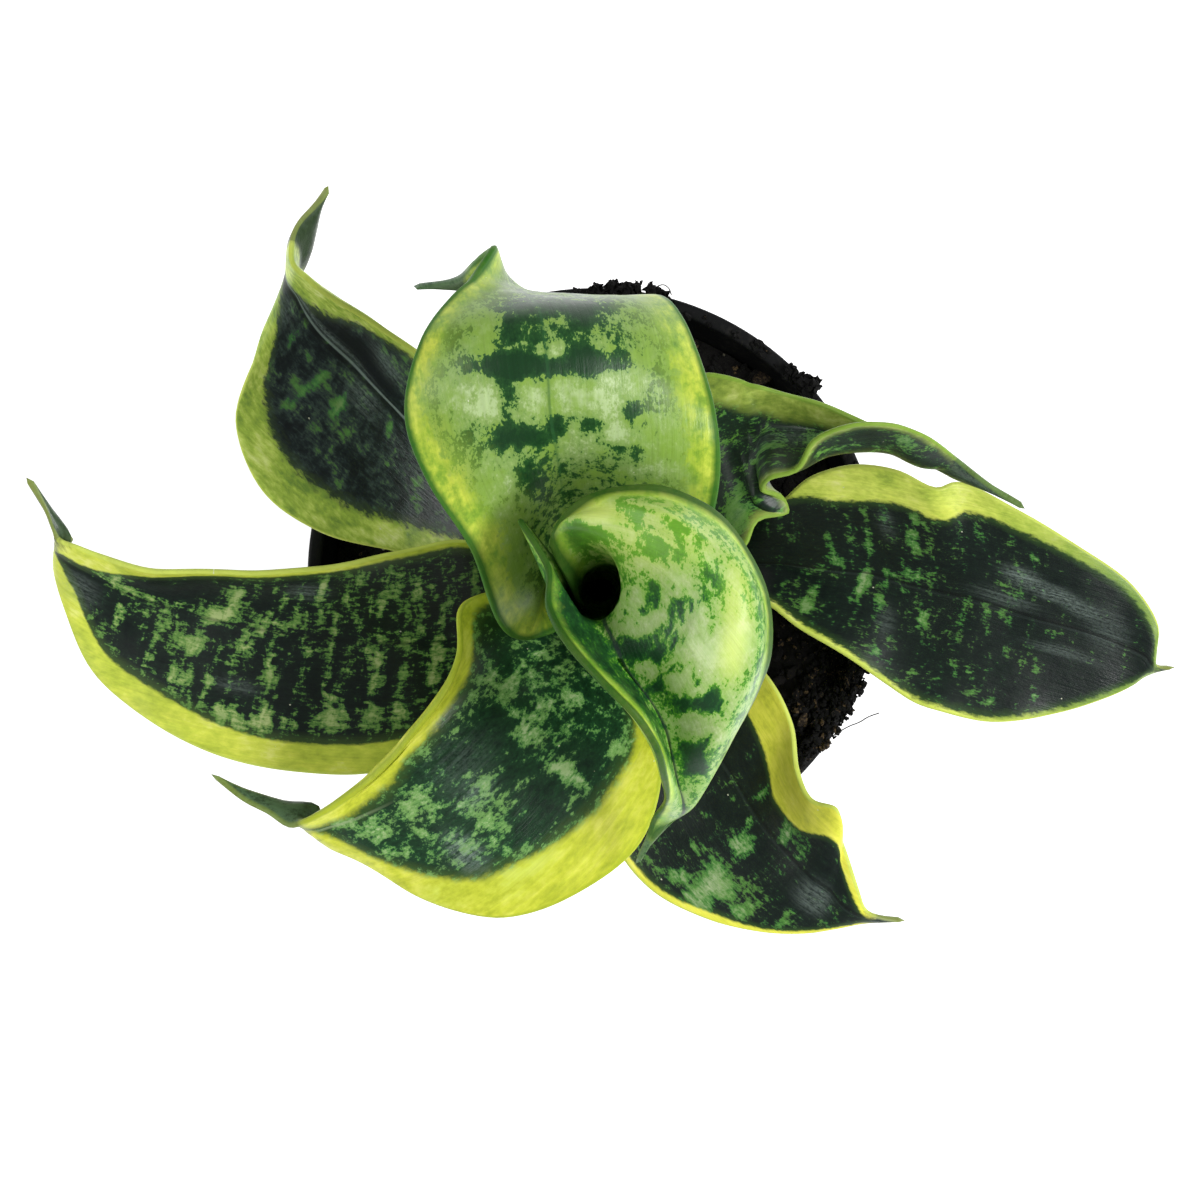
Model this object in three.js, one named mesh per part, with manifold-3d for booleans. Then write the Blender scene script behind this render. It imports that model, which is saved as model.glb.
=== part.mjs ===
// Twisted snake plant with eight leaves in a black round nursery pot.
// Millimetres, +Z up, origin at the middle of the pot's underside.
import * as THREE from "three";
import { mergeVertices } from "three/addons/utils/BufferGeometryUtils.js";
import Module from "manifold-3d";

const wasm = await Module();
wasm.setup();

// Pot
const RIM_RADIUS = 54;
const POT_HEIGHT = 92;
const WALL = 1.1;
const BASE_RADIUS = 40;
const SHOULDER_RADIUS = 50.4;
const SHOULDER_HEIGHT = 83;
const RIM_WIDTH = 2.8;
const RIM_THICKNESS = 1.4;
const RIM_EDGE = 0.7;
const SKIRT_DEPTH = 7.5;
const SKIRT_THICKNESS = 1.4;
const SKIRT_TAPER = 0.5;
const POT_SIDES = 48;

// Pot floor: a foot ring round a recess, with a hub in its middle
const FLOOR_THICKNESS = 1.2;
const FLOOR_RECESS = 1.6;
const FLOOR_CORNER = { radius: 38.5, height: 3 };
const HUB_RADIUS = 14;
const FOOT_RADIUS = 38;
const FOOT_WIDTH = 6;
const FOOT_EDGE = { setback: 0.6, low: 0.6, high: 2.2 };
const STEP_SLOPE = 1;
const DRAIN_COUNT = 8;
const DRAIN_SLOT = { radius: 41, height: 3, long: 9, wide: 7.5, tall: 10 };
const DRAIN_ROUND = { circle: 23, radius: 3, sides: 12 };

// Soil
const CLEARANCE = 0.3;
const SOIL_LEVEL = 84;
const SOIL_SIDES = 48;
const SOIL_RINGS = 14;
const SOIL_FOOT = { setback: 2.5, height: 5 };
const CLOD_COUNT = 70;
const CLOD_BAND = { from: 20, to: 49 };
const CLOD_WIDTH = { least: 2.2, range: 2.6 };
const CLOD_HEIGHT = { least: -0.9, range: 2.9 };
const HEAP = { x: 44, y: -25, width: 13, height: 4.2 };

// Crown: the leaf bases stand nested round this point, in rings
const CROWN = { x: 1, y: -3 };
const LEAF_FOOT = 75;
const PIT_INNER = 1.75;
const PIT_OUTER = 2.2;
const PIT_ENDS = 1.3;
const PIT_DEPTH = 30;
const PIT_SEGMENTS = 14;

// Leaf flesh
const FLESH_MIDDLE = 2.5;
const FLESH_MARGIN = 1;
const FLESH_TIP = 1.3;
const FLESH_TAPER_WIDTH = 7;
const EDGE_ROUNDING = 0.5;
const LONGEST_STEP = 9;
const SAMPLE_ACROSS = 0.02;
const SAMPLE_ALONG = 0.002;
const LEAF_ROUGHNESS = 0.38;

const RADIANS = Math.PI / 180;

const finish = (color, roughness) => new THREE.MeshStandardMaterial({ color, roughness, metalness: 0 });
const BLACK_PLASTIC = finish(0x15171a, 0.4);
const POTTING_MIX = finish(0x1d1712, 0.95);

function solidOf(geometry) {
  const bare = geometry.index ? geometry.clone() : geometry;
  bare.deleteAttribute("normal");
  bare.deleteAttribute("uv");
  const merged = mergeVertices(bare, 1e-4);
  return new wasm.Manifold(new wasm.Mesh({
    numProp: 3,
    vertProperties: new Float32Array(merged.attributes.position.array),
    triVerts: new Uint32Array(merged.index.array),
  }));
}

function geometryOf(solid) {
  const mesh = solid.getMesh();
  const geometry = new THREE.BufferGeometry();
  geometry.setAttribute("position", new THREE.BufferAttribute(mesh.vertProperties, 3));
  geometry.setIndex(new THREE.BufferAttribute(mesh.triVerts, 1));
  geometry.computeVertexNormals();
  return geometry;
}

function meshOf(name, geometry, material) {
  const mesh = new THREE.Mesh(geometry, material);
  mesh.name = name;
  return mesh;
}

// A profile of [radius, height] pairs turned round the pot's axis
function turned(profile, sides) {
  const points = profile.map(([radius, height]) => new THREE.Vector2(radius, height));
  return new THREE.LatheGeometry(points, sides).rotateX(Math.PI / 2);
}

// Radius of the inside of the pot at a height
function insideRadius(height) {
  const lip = RIM_RADIUS - RIM_WIDTH;
  const shoulder = SHOULDER_RADIUS - WALL;
  if (height < SHOULDER_HEIGHT) {
    const share = (height - FLOOR_CORNER.height) / (SHOULDER_HEIGHT - FLOOR_CORNER.height);
    return THREE.MathUtils.lerp(FLOOR_CORNER.radius, shoulder, share);
  }
  return THREE.MathUtils.lerp(shoulder, lip, (height - SHOULDER_HEIGHT) / (POT_HEIGHT - SHOULDER_HEIGHT));
}

function potShell() {
  const footInner = FOOT_RADIUS - FOOT_WIDTH;
  const skirtInner = RIM_RADIUS - SKIRT_THICKNESS;
  const skirtBottom = POT_HEIGHT - SKIRT_DEPTH;
  const rimUnderside = POT_HEIGHT - RIM_THICKNESS;
  const lip = insideRadius(POT_HEIGHT);
  return turned([
    [0, 0],
    [HUB_RADIUS, 0],
    [HUB_RADIUS + STEP_SLOPE, FLOOR_RECESS],
    [footInner, FLOOR_RECESS],
    [footInner + STEP_SLOPE, 0],
    [FOOT_RADIUS, 0],
    [BASE_RADIUS - FOOT_EDGE.setback, FOOT_EDGE.low],
    [BASE_RADIUS, FOOT_EDGE.high],
    [SHOULDER_RADIUS, SHOULDER_HEIGHT],
    [SHOULDER_RADIUS + RIM_EDGE, rimUnderside],
    [skirtInner, rimUnderside],
    [skirtInner, skirtBottom],
    [RIM_RADIUS - SKIRT_TAPER, skirtBottom],
    [RIM_RADIUS, POT_HEIGHT - RIM_EDGE],
    [RIM_RADIUS - RIM_EDGE, POT_HEIGHT],
    [lip + RIM_EDGE, POT_HEIGHT],
    [lip, POT_HEIGHT - RIM_EDGE],
    [insideRadius(SHOULDER_HEIGHT), SHOULDER_HEIGHT],
    [FLOOR_CORNER.radius, FLOOR_CORNER.height],
    [FLOOR_CORNER.radius - FLOOR_THICKNESS, FLOOR_THICKNESS],
    [footInner + STEP_SLOPE, FLOOR_THICKNESS],
    [footInner, FLOOR_RECESS + FLOOR_THICKNESS],
    [HUB_RADIUS + STEP_SLOPE, FLOOR_RECESS + FLOOR_THICKNESS],
    [HUB_RADIUS, FLOOR_THICKNESS],
    [0, FLOOR_THICKNESS],
  ], POT_SIDES);
}

// Drain slots through the corner between wall and floor, and round ones in the recessed floor
function drainHoles() {
  const holes = [];
  for (let i = 0; i < DRAIN_COUNT; i++) {
    const angle = (i + 0.5) * 2 * Math.PI / DRAIN_COUNT;
    const slot = new THREE.BoxGeometry(DRAIN_SLOT.long, DRAIN_SLOT.wide, DRAIN_SLOT.tall);
    slot.translate(DRAIN_SLOT.radius, 0, DRAIN_SLOT.height);
    slot.rotateZ(angle);
    holes.push(solidOf(slot));
    const { circle, radius, sides } = DRAIN_ROUND;
    const round = new THREE.CylinderGeometry(radius, radius, DRAIN_SLOT.tall, sides);
    round.rotateX(Math.PI / 2);
    round.translate(circle, 0, FLOOR_RECESS);
    round.rotateZ(angle + Math.PI / DRAIN_COUNT);
    holes.push(solidOf(round));
  }
  return holes;
}

function pot() {
  let shell = solidOf(potShell());
  for (const hole of drainHoles()) {
    shell = shell.subtract(hole);
  }
  return meshOf("pot", geometryOf(shell), BLACK_PLASTIC);
}

// Repeatable random numbers from 0 to 1
function seeded(seed) {
  let state = seed;
  return () => {
    state = (Math.imul(state, 1664525) + 1013904223) >>> 0;
    return state / 4294967296;
  };
}

const random = seeded(5);
const clods = Array.from({ length: CLOD_COUNT }, () => {
  const reach = CLOD_BAND.from + (CLOD_BAND.to - CLOD_BAND.from) * Math.sqrt(random());
  const angle = 2 * Math.PI * random();
  return {
    x: reach * Math.cos(angle),
    y: reach * Math.sin(angle),
    width: CLOD_WIDTH.least + CLOD_WIDTH.range * random(),
    height: CLOD_HEIGHT.least + CLOD_HEIGHT.range * random(),
  };
});

// Height of a round heap over a point; width is the distance at which it has sunk to a third
function heapHeight(heap, x, y) {
  const distance = Math.hypot(x - heap.x, y - heap.y);
  return heap.height * Math.exp(-((distance / heap.width) ** 2));
}

// Height of the soil's surface: slow waves, clods, and the mix heaped at the lower right of the rim
function soilTop(x, y) {
  const outward = THREE.MathUtils.smoothstep(Math.hypot(x, y), CLOD_BAND.from, CLOD_BAND.from + 12);
  const waves = 0.5 * Math.sin(x / 5.1 + 1) + 0.4 * Math.cos(y / 4.3 - x / 9);
  const lumps = clods.reduce((sum, clod) => sum + heapHeight(clod, x, y), 0);
  return SOIL_LEVEL + waves + outward * lumps + heapHeight(HEAP, x, y);
}

// The mix fills the pot, with a small gap all round; the rings of its top follow the relief
function soilBody() {
  const wallRadius = (height) => insideRadius(height) - CLEARANCE;
  const floorTop = FLOOR_RECESS + FLOOR_THICKNESS + CLEARANCE;
  const edge = wallRadius(SOIL_LEVEL);
  const bend = SHOULDER_HEIGHT - 4;
  const profile = [
    [0, floorTop],
    [wallRadius(SOIL_FOOT.height) - SOIL_FOOT.setback, floorTop],
    [wallRadius(SOIL_FOOT.height), SOIL_FOOT.height],
    [wallRadius(bend), bend],
  ];
  for (let ring = SOIL_RINGS; ring >= 0; ring--) {
    profile.push([edge * ring / SOIL_RINGS, SOIL_LEVEL]);
  }
  const geometry = turned(profile, SOIL_SIDES);
  const position = geometry.attributes.position;
  for (let i = 0; i < position.count; i++) {
    if (position.getZ(i) > SOIL_LEVEL - 0.01) {
      position.setZ(i, soilTop(position.getX(i), position.getY(i)));
    }
  }
  return solidOf(geometry);
}

// Ring sector that a leaf base stands in, cut from the soil
function basePit(foot) {
  const middle = foot.azimuth * RADIANS;
  const margin = PIT_ENDS / foot.radius;
  const from = middle - foot.right * RADIANS - margin;
  const to = middle + foot.left * RADIANS + margin;
  const outer = foot.radius + PIT_OUTER;
  const shape = new THREE.Shape();
  if (foot.radius < 2 * PIT_INNER) {
    shape.absarc(0, 0, outer, 0, 2 * Math.PI, false);
  } else {
    shape.absarc(0, 0, outer, from, to, false);
    shape.absarc(0, 0, foot.radius - PIT_INNER, to, from, true);
  }
  const sector = new THREE.ExtrudeGeometry(shape, {
    depth: PIT_DEPTH,
    bevelEnabled: false,
    curveSegments: PIT_SEGMENTS,
  });
  return solidOf(sector.translate(CROWN.x, CROWN.y, LEAF_FOOT - CLEARANCE));
}

function soil(feet) {
  let body = soilBody();
  for (const foot of feet) {
    body = body.subtract(basePit(foot));
  }
  return meshOf("soil", geometryOf(body), POTTING_MIX);
}

// A leaf is a row of cross sections from its foot to its tip. Each section is a function from
// across, -1 at the leaf's left margin, 0 at its midrib and 1 at its right margin, to a point.

// Section rolled round the crown: height, ring radius, azimuth of the midrib, degrees to each
// margin, and how far the left margin is tucked inside the ring
function wrap(height, radius, azimuth, left, right, tuck = 0) {
  const section = (across) => {
    const angle = (azimuth - across * (across < 0 ? left : right)) * RADIANS;
    const reach = radius - tuck * Math.max(0, -across) ** 1.5;
    return new THREE.Vector3(CROWN.x + reach * Math.cos(angle), CROWN.y + reach * Math.sin(angle), height);
  };
  return Object.assign(section, { radius, azimuth, left, right });
}

// Shallow channel through left margin, midrib and right margin; a low keel gives a softer fold
function channel(left, midrib, right, keel = 1.5) {
  const [l, m, r] = [left, midrib, right].map((point) => new THREE.Vector3(...point));
  const half = r.clone().sub(l).multiplyScalar(0.5);
  const rise = r.clone().add(l).multiplyScalar(0.5).sub(m);
  return (across) => m.clone()
    .addScaledVector(half, across)
    .addScaledVector(rise, Math.abs(across) ** keel);
}

// Free curve through points from the left margin over the midrib to the right margin
function folded(leftPoints, midrib, rightPoints) {
  const points = [...leftPoints, midrib, ...rightPoints].map((point) => new THREE.Vector3(...point));
  const curve = new THREE.CatmullRomCurve3(points, false, "centripetal");
  const [leftCount, rightCount] = [leftPoints.length, rightPoints.length];
  return (across) => {
    const steps = leftCount + across * (across < 0 ? leftCount : rightCount);
    return curve.getPoint(steps / (leftCount + rightCount));
  };
}

function tip(x, y, z) {
  return () => new THREE.Vector3(x, y, z);
}

// Point of the leaf's middle surface; along runs from 0 at the first section to 1 at the tip
function surfacePoint(sections, along, across) {
  const column = new THREE.CatmullRomCurve3(sections.map((section) => section(across)), false, "centripetal");
  return column.getPoint(along);
}

// Sections are joined by enough rows that no step along the midrib is long
function rowPlaces(sections) {
  const places = [];
  const spans = sections.length - 1;
  for (let span = 0; span < spans; span++) {
    const length = [-0.9, 0, 0.9].reduce((longest, across) => Math.max(
      longest,
      sections[span](across).distanceTo(sections[span + 1](across)),
    ), 0);
    const steps = Math.max(2, Math.ceil(length / LONGEST_STEP));
    for (let step = 0; step < steps; step++) {
      places.push((span + step / steps) / spans);
    }
  }
  return places;
}

// One row: a closed ring of points round the leaf's flesh, from the left edge over the upper face
// to the right edge and back along the lower face
function rowRing(sections, along, columns) {
  const point = (across) => surfacePoint(sections, along, across);
  const halfWidth = 0.5 * (point(-1).distanceTo(point(0)) + point(0).distanceTo(point(1)));
  const inset = Math.min(EDGE_ROUNDING / Math.max(halfWidth, EDGE_ROUNDING), 0.4);
  const taper = THREE.MathUtils.smoothstep(halfWidth, 0, FLESH_TAPER_WIDTH);
  const middle = THREE.MathUtils.lerp(FLESH_TIP, FLESH_MIDDLE, taper);
  const upper = [];
  const lower = [];
  for (let column = 0; column <= columns; column++) {
    const share = 2 * column / columns - 1;
    const across = share * (1 - inset);
    const here = point(across);
    const sideways = point(Math.min(across + SAMPLE_ACROSS, 1))
      .sub(point(Math.max(across - SAMPLE_ACROSS, -1)));
    const onwards = surfacePoint(sections, Math.min(along + SAMPLE_ALONG, 1), across)
      .sub(surfacePoint(sections, Math.max(along - SAMPLE_ALONG, 0), across));
    const normal = sideways.cross(onwards).normalize();
    if (along === 0) {
      normal.setZ(0).normalize();
    }
    const thickness = THREE.MathUtils.lerp(middle, Math.min(FLESH_MARGIN, middle), Math.abs(share) ** 2.5);
    upper.push(here.clone().addScaledVector(normal, thickness / 2));
    lower.push(here.clone().addScaledVector(normal, -thickness / 2));
  }
  return [point(-1), ...upper, point(1), ...lower.reverse()];
}

function leafGeometry(sections, columns) {
  const places = rowPlaces(sections);
  const rings = places.map((along) => rowRing(sections, along, columns));
  const around = rings[0].length;
  const vertices = rings.flat();
  vertices.push(surfacePoint(sections, 1, 0));
  const tipIndex = vertices.length - 1;
  const triangles = [];
  for (let row = 0; row < rings.length; row++) {
    const lastRow = row === rings.length - 1;
    for (let i = 0; i < around; i++) {
      const here = row * around + i;
      const beside = row * around + (i + 1) % around;
      if (lastRow) {
        triangles.push(here, beside, tipIndex);
      } else {
        triangles.push(here, beside, here + around);
        triangles.push(beside, beside + around, here + around);
      }
    }
  }
  for (let i = 0; i <= columns; i++) {
    const [upperHere, upperNext] = [i, i + 1];
    const [lowerHere, lowerNext] = [around - i, around - i - 1];
    if (i > 0) {
      triangles.push(upperHere, lowerHere, upperNext);
    }
    triangles.push(upperNext, lowerHere % around, lowerNext);
  }
  triangles.push(columns + 1, columns + 3, columns + 2);
  const geometry = new THREE.BufferGeometry();
  const coordinates = vertices.flatMap((vertex) => vertex.toArray());
  geometry.setAttribute("position", new THREE.Float32BufferAttribute(coordinates, 3));
  geometry.setIndex(triangles);
  geometry.computeVertexNormals();
  return geometry;
}

// Youngest leaf: rolled into a funnel over the crown, then a broad blade that heads to the front
const centreLeaf = [
  wrap(LEAF_FOOT, 3, 280, 125, 125),
  wrap(90, 3.2, 280, 135, 122),
  wrap(115, 3.9, 280, 190, 118, 0.6),
  wrap(138, 4.8, 280, 285, 112, 2.2),
  wrap(154, 6, 280, 305, 116, 2.2),
  wrap(164, 7.1, 280, 262, 130, 2.8),
  folded(
    [[-7, 5, 172], [-3.5, 7.5, 177], [4, 3.5, 178], [5.5, -4.5, 174]],
    [1.5, -9, 170],
    [[-2.5, -8, 170], [-12, 8.5, 169]],
  ),
  folded(
    [[-3.5, 10.5, 175], [5.5, 8.5, 181], [11.5, 2, 183], [11, -6.5, 179]],
    [3, -12, 173],
    [[-1.5, -9.5, 173], [-7.5, 1, 174]],
  ),
  folded(
    [[0.5, 12.5, 176], [11.5, 8, 184], [16.5, -1.5, 184], [13, -11, 180]],
    [4, -14.5, 174],
    [[-1, -11.5, 176], [-7.5, -5.5, 177]],
  ),
  folded(
    [[10.5, 13.5, 176], [19, 1.5, 184], [15.5, -11.5, 182]],
    [6.5, -18, 174],
    [[1.5, -15.5, 180], [-4.5, -11, 184]],
  ),
  folded([[20, 9, 176], [24, -4.5, 183], [17, -16, 181]], [9, -21.5, 173], [[5, -20, 183], [0.5, -17, 188]]),
  folded(
    [[26.5, -0.5, 176], [25.5, -12.5, 180], [18.5, -21, 178]],
    [11, -25.5, 171],
    [[8, -24, 182], [5.5, -22, 189]],
  ),
  folded([[28.5, -12, 173], [20, -25.5, 175]], [12, -30, 169], [[10.5, -28.5, 178], [9, -26.5, 186]]),
  folded([[25, -22, 168], [18.5, -31, 169]], [13, -35, 165], [[12, -33.5, 172], [11, -32, 179]]),
  folded([[19.5, -32, 164], [16.5, -36.5, 163]], [14, -38, 161], [[12.5, -37, 166], [11.5, -36, 171]]),
  channel([16, -39, 159], [13, -40, 157.5], [11, -38.5, 163]),
  channel([12.5, -42, 156], [11, -42, 156], [9.5, -41, 158]),
  channel([10, -45, 153], [9.3, -45, 153], [8.5, -44.7, 154]),
  tip(7, -49, 150),
];

// Second leaf: broad, heads to the back, and folds down over its own shoulder before the tip
const backLeaf = [
  wrap(LEAF_FOOT, 6.4, 100, 110, 100),
  wrap(92, 6.9, 100, 112, 100),
  wrap(115, 8.6, 102, 116, 100),
  wrap(130, 10.8, 105, 118, 98),
  folded([[-12.5, -11.5, 141], [-9.5, -2, 146]], [-5.5, 8, 141], [[5.5, 8, 141], [12.5, -2, 141]]),
  folded([[-16, -8.5, 153], [-12.5, 2, 153]], [-5.5, 12, 152], [[7.5, 12, 154], [18, 4.5, 156]]),
  folded([[-20.5, 4, 162], [-14.5, 9, 162]], [-6, 18.5, 165], [[8.5, 19, 168], [20.5, 15, 166]]),
  channel([-27, 14.5, 167], [-7, 26, 174], [20, 23.5, 170], 1.8),
  channel([-30.5, 25, 170], [-7.5, 33, 177], [17.5, 34, 167], 1.8),
  channel([-28, 36.5, 171], [-8.5, 40, 174], [13, 44, 160], 1.8),
  channel([-23.5, 44, 167], [-11, 44, 164], [6.5, 46, 147]),
  channel([-19, 49.5, 161], [-14.5, 47.2, 152], [-4, 45.5, 137]),
  channel([-16.5, 54.2, 156], [-16.3, 50.5, 148], [-14.5, 46.5, 134]),
  channel([-20, 52.5, 149], [-20.5, 50.5, 143], [-20, 48.5, 136]),
  channel([-23.5, 50.5, 141], [-24, 49.8, 138.5], [-24, 49, 136]),
  tip(-31.5, 50, 132),
];

// Third pair of leaves, right round the first two
const frontLeftLeaf = [
  wrap(LEAF_FOOT, 9.7, 215, 80, 80),
  wrap(92, 10.2, 215, 82, 80),
  wrap(105, 11, 218, 80, 70),
  channel([4, -15, 126], [-7.5, -12, 116], [-17, -2.5, 124]),
  channel([8.5, -23, 138], [-11.5, -16, 127], [-23, -6, 138]),
  channel([11.5, -34, 146], [-16, -22.5, 136], [-23.2, -14, 143], 1.7),
  channel([8, -45.5, 147], [-21.5, -28.5, 139], [-26, -21.5, 144], 1.8),
  channel([-2.5, -54.5, 143], [-27, -33.5, 139], [-30.5, -27, 143], 1.8),
  channel([-15.5, -59.5, 137], [-33, -38, 136], [-36, -33.5, 139], 1.8),
  channel([-29.5, -57, 131], [-40, -41.5, 132], [-41.5, -38, 135], 1.7),
  channel([-40.5, -51, 127], [-46, -43.5, 128], [-47, -41.5, 132]),
  channel([-48, -47, 124], [-50.5, -44.5, 126], [-51, -43.5, 129]),
  channel([-49, -41.5, 121], [-52, -42.5, 124], [-54, -44.5, 126.5]),
  channel([-55, -40.5, 121], [-56.5, -41.2, 122.5], [-58, -42, 124.5]),
  channel([-61.5, -38.5, 121], [-62, -39.2, 122], [-62.5, -40, 123]),
  tip(-68, -35.5, 123),
];

const backRightLeaf = [
  wrap(LEAF_FOOT, 9.7, 38, 78, 78),
  wrap(92, 10.3, 38, 78, 78),
  wrap(103, 12.6, 42, 66, 66),
  channel([8, 27.5, 118], [13.5, 15, 112], [20, 2.5, 118]),
  channel([19, 35, 131], [23, 22, 125], [26, 4.5, 132]),
  channel([22.5, 34.5, 132], [26, 23.5, 126], [28.5, 9, 132]),
  folded([[24.5, 34, 132]], [27.5, 24, 126.5], [[28.8, 12.5, 131], [34, 10.5, 129]]),
  folded([[25.5, 33.7, 132]], [28.5, 24, 127], [[28.8, 14.2, 131], [33.5, 12.8, 130]]),
  channel([27, 33, 132], [29.5, 24.5, 127], [29, 14, 135]),
  channel([28.5, 32.7, 132], [30.5, 25, 127], [30, 16, 139]),
  folded([[33.5, 31.5, 130]], [34.5, 25.5, 126], [[35.5, 19.5, 132], [34.5, 17.5, 139]]),
  folded([[39.5, 30, 129]], [40.5, 25, 124], [[40.5, 21.5, 131], [37.5, 22.5, 142]]),
  folded([[45.5, 27.5, 127]], [45.5, 24.8, 123], [[46, 22.3, 130], [43, 25, 144]]),
  folded([[51, 24.5, 126]], [52, 23.5, 123], [[52, 22.2, 129], [49.5, 25.5, 143]]),
  folded([[57, 21.5, 125]], [57.5, 20.5, 124], [[58, 19.7, 128], [57, 23.5, 138]]),
  channel([63, 17, 125], [63, 18.3, 127.5], [63.5, 20, 131]),
  channel([69.5, 14.5, 124], [69.5, 15, 125], [69.5, 15.5, 126.5]),
  tip(76.5, 11.5, 122),
];

// Fourth pair: the long leaf to the left and the short one to the front right
const leftLeaf = [
  wrap(LEAF_FOOT, 13.1, 184, 54, 62),
  wrap(89, 13.6, 187, 52, 60),
  channel([-13, -21, 104], [-14, -7.5, 99], [-15.5, 2.5, 108]),
  channel([-25, -31, 114], [-23.5, -11, 109], [-23.5, 6, 120]),
  channel([-38.5, -35.5, 118], [-35, -12, 113], [-34.5, 4, 124]),
  channel([-53, -35.5, 118], [-48.5, -11, 115], [-45, 1.5, 126], 1.7),
  channel([-68, -32.5, 116], [-62, -9, 115], [-57.5, 0.5, 125], 1.7),
  channel([-81, -26, 114], [-74.5, -6, 114], [-69.5, 0.5, 123], 1.7),
  channel([-91, -17.5, 112], [-85, -2.5, 114], [-81, 1, 121]),
  channel([-95.5, -7.5, 112], [-91.5, 1, 115], [-88.5, 3.5, 119]),
  channel([-97.5, 2, 113], [-95.5, 4, 116], [-92, 5, 119.5]),
  channel([-96, 4.5, 114], [-96, 5.5, 117], [-95.5, 6.2, 119.5]),
  channel([-93.5, 6, 117], [-95.2, 7.5, 118.5], [-96.5, 7.5, 120]),
  channel([-97, 11.2, 119], [-97.5, 11.5, 120.5], [-98, 11.8, 121.5]),
  tip(-100.5, 17, 124),
];

const frontRightLeaf = [
  wrap(LEAF_FOOT, 13.1, 305, 58, 58),
  wrap(88, 13.7, 306, 56, 54),
  channel([23.5, -10, 102], [14, -17, 98], [3, -21.5, 103]),
  channel([32, -19.5, 113], [20.5, -29.5, 104], [3, -36, 108]),
  channel([35.5, -27, 113], [26, -38.5, 105], [3.5, -48.5, 107], 1.8),
  channel([36.5, -35, 113], [30.5, -45.5, 106], [10, -57.5, 106], 1.8),
  channel([39, -40.5, 115], [35, -50.5, 107], [20, -63, 105], 1.8),
  channel([43.5, -42, 117], [39.5, -55, 108], [29.5, -65.5, 104], 1.8),
  channel([45, -48.5, 112], [43.5, -58, 107], [38.5, -66, 104]),
  channel([48, -57.5, 110], [46.5, -61, 107], [44.5, -65, 105]),
  channel([50, -61.5, 107.5], [49.5, -62.5, 106.5], [49, -64, 105.5]),
  tip(57, -63.5, 105),
];

// Outermost pair: the leaf to the back left and the broad one to the right
const backLeftLeaf = [
  wrap(LEAF_FOOT, 16.4, 128, 56, 56),
  wrap(87, 16.9, 129, 52, 50),
  channel([-23, 0.5, 104], [-17.5, 14, 100], [-13.5, 28, 108]),
  channel([-36, 4, 110], [-28, 22, 107], [-24, 35, 118]),
  channel([-49.5, 7.5, 112], [-36.5, 31, 112], [-33, 40, 124]),
  channel([-60, 15, 113], [-43.5, 38.5, 117], [-40.5, 45, 127], 1.7),
  channel([-64.5, 27.5, 116], [-49, 44, 121], [-45.5, 48, 130], 1.7),
  channel([-61, 37.5, 120], [-52, 49, 125], [-49.5, 51, 134]),
  channel([-56.5, 47.5, 122], [-53, 52, 129], [-52, 53.5, 138]),
  channel([-51.5, 54, 124], [-52, 56, 132], [-52, 57, 140]),
  channel([-48.5, 59.5, 133], [-49.5, 59.5, 137], [-51, 59.5, 141]),
  channel([-47, 62.5, 140], [-47.5, 62.5, 142], [-48, 62.5, 143]),
  tip(-45, 65.5, 146),
];

const rightLeaf = [
  wrap(LEAF_FOOT, 16.4, 0, 50, 44),
  wrap(86, 17, 2, 46, 36),
  channel([26, 10, 97], [24, 1, 92], [23.5, -7.5, 95]),
  channel([32.5, 12, 107], [33.5, 2, 99], [30.5, -5, 105]),
  channel([39, 17.5, 114], [42, 1, 103], [37.5, -10, 108]),
  channel([47, 19.5, 118], [50.5, 0, 105], [45, -14.5, 109]),
  channel([54.5, 18.5, 119], [58, -2, 107], [53, -20, 108], 1.7),
  channel([61, 15.5, 119], [64, -3.5, 108], [58.5, -23.5, 108], 1.7),
  channel([65, 16.5, 118], [68.5, -4.5, 109], [63, -25, 108], 1.7),
  channel([75, 12, 117], [76.5, -7, 109], [72.5, -27, 107], 1.7),
  channel([86.5, 5.5, 115], [87.5, -10, 109], [84.5, -25.5, 106], 1.7),
  channel([97.5, -2, 112], [96, -13, 108], [94, -22.5, 106]),
  channel([102.5, -9.5, 110], [100.5, -15, 107.5], [98.5, -20.5, 105.5]),
  channel([102.5, -14, 108], [101.5, -16.5, 107], [100.5, -19, 105.5]),
  channel([102.8, -16.5, 106.5], [102.8, -17.3, 106], [102.8, -18, 105.5]),
  tip(106.5, -17, 105),
];

const LEAVES = [
  { name: "leaf_centre", sections: centreLeaf, columns: 14, color: 0x7fb047 },
  { name: "leaf_back", sections: backLeaf, columns: 10, color: 0x8cab55 },
  { name: "leaf_front_left", sections: frontLeftLeaf, columns: 8, color: 0x4f7a3c },
  { name: "leaf_back_right", sections: backRightLeaf, columns: 8, color: 0x5d7448 },
  { name: "leaf_left", sections: leftLeaf, columns: 8, color: 0x2c4a30 },
  { name: "leaf_front_right", sections: frontRightLeaf, columns: 8, color: 0x33482f },
  { name: "leaf_back_left", sections: backLeftLeaf, columns: 8, color: 0x2b4331 },
  { name: "leaf_right", sections: rightLeaf, columns: 8, color: 0x27382f },
];

const plant = new THREE.Group();
plant.add(pot());
plant.add(soil(LEAVES.map((leaf) => leaf.sections[0])));
for (const leaf of LEAVES) {
  const blade = leafGeometry(leaf.sections, leaf.columns);
  plant.add(meshOf(leaf.name, blade, finish(leaf.color, LEAF_ROUGHNESS)));
}

export default plant;
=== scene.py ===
# Dresses the potted twisted snake plant: mottled leaves, potting mix, moulded pot, floor, light and camera
import math

import bmesh
import bpy
import numpy as np
from mathutils import Matrix, Vector, noise


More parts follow.
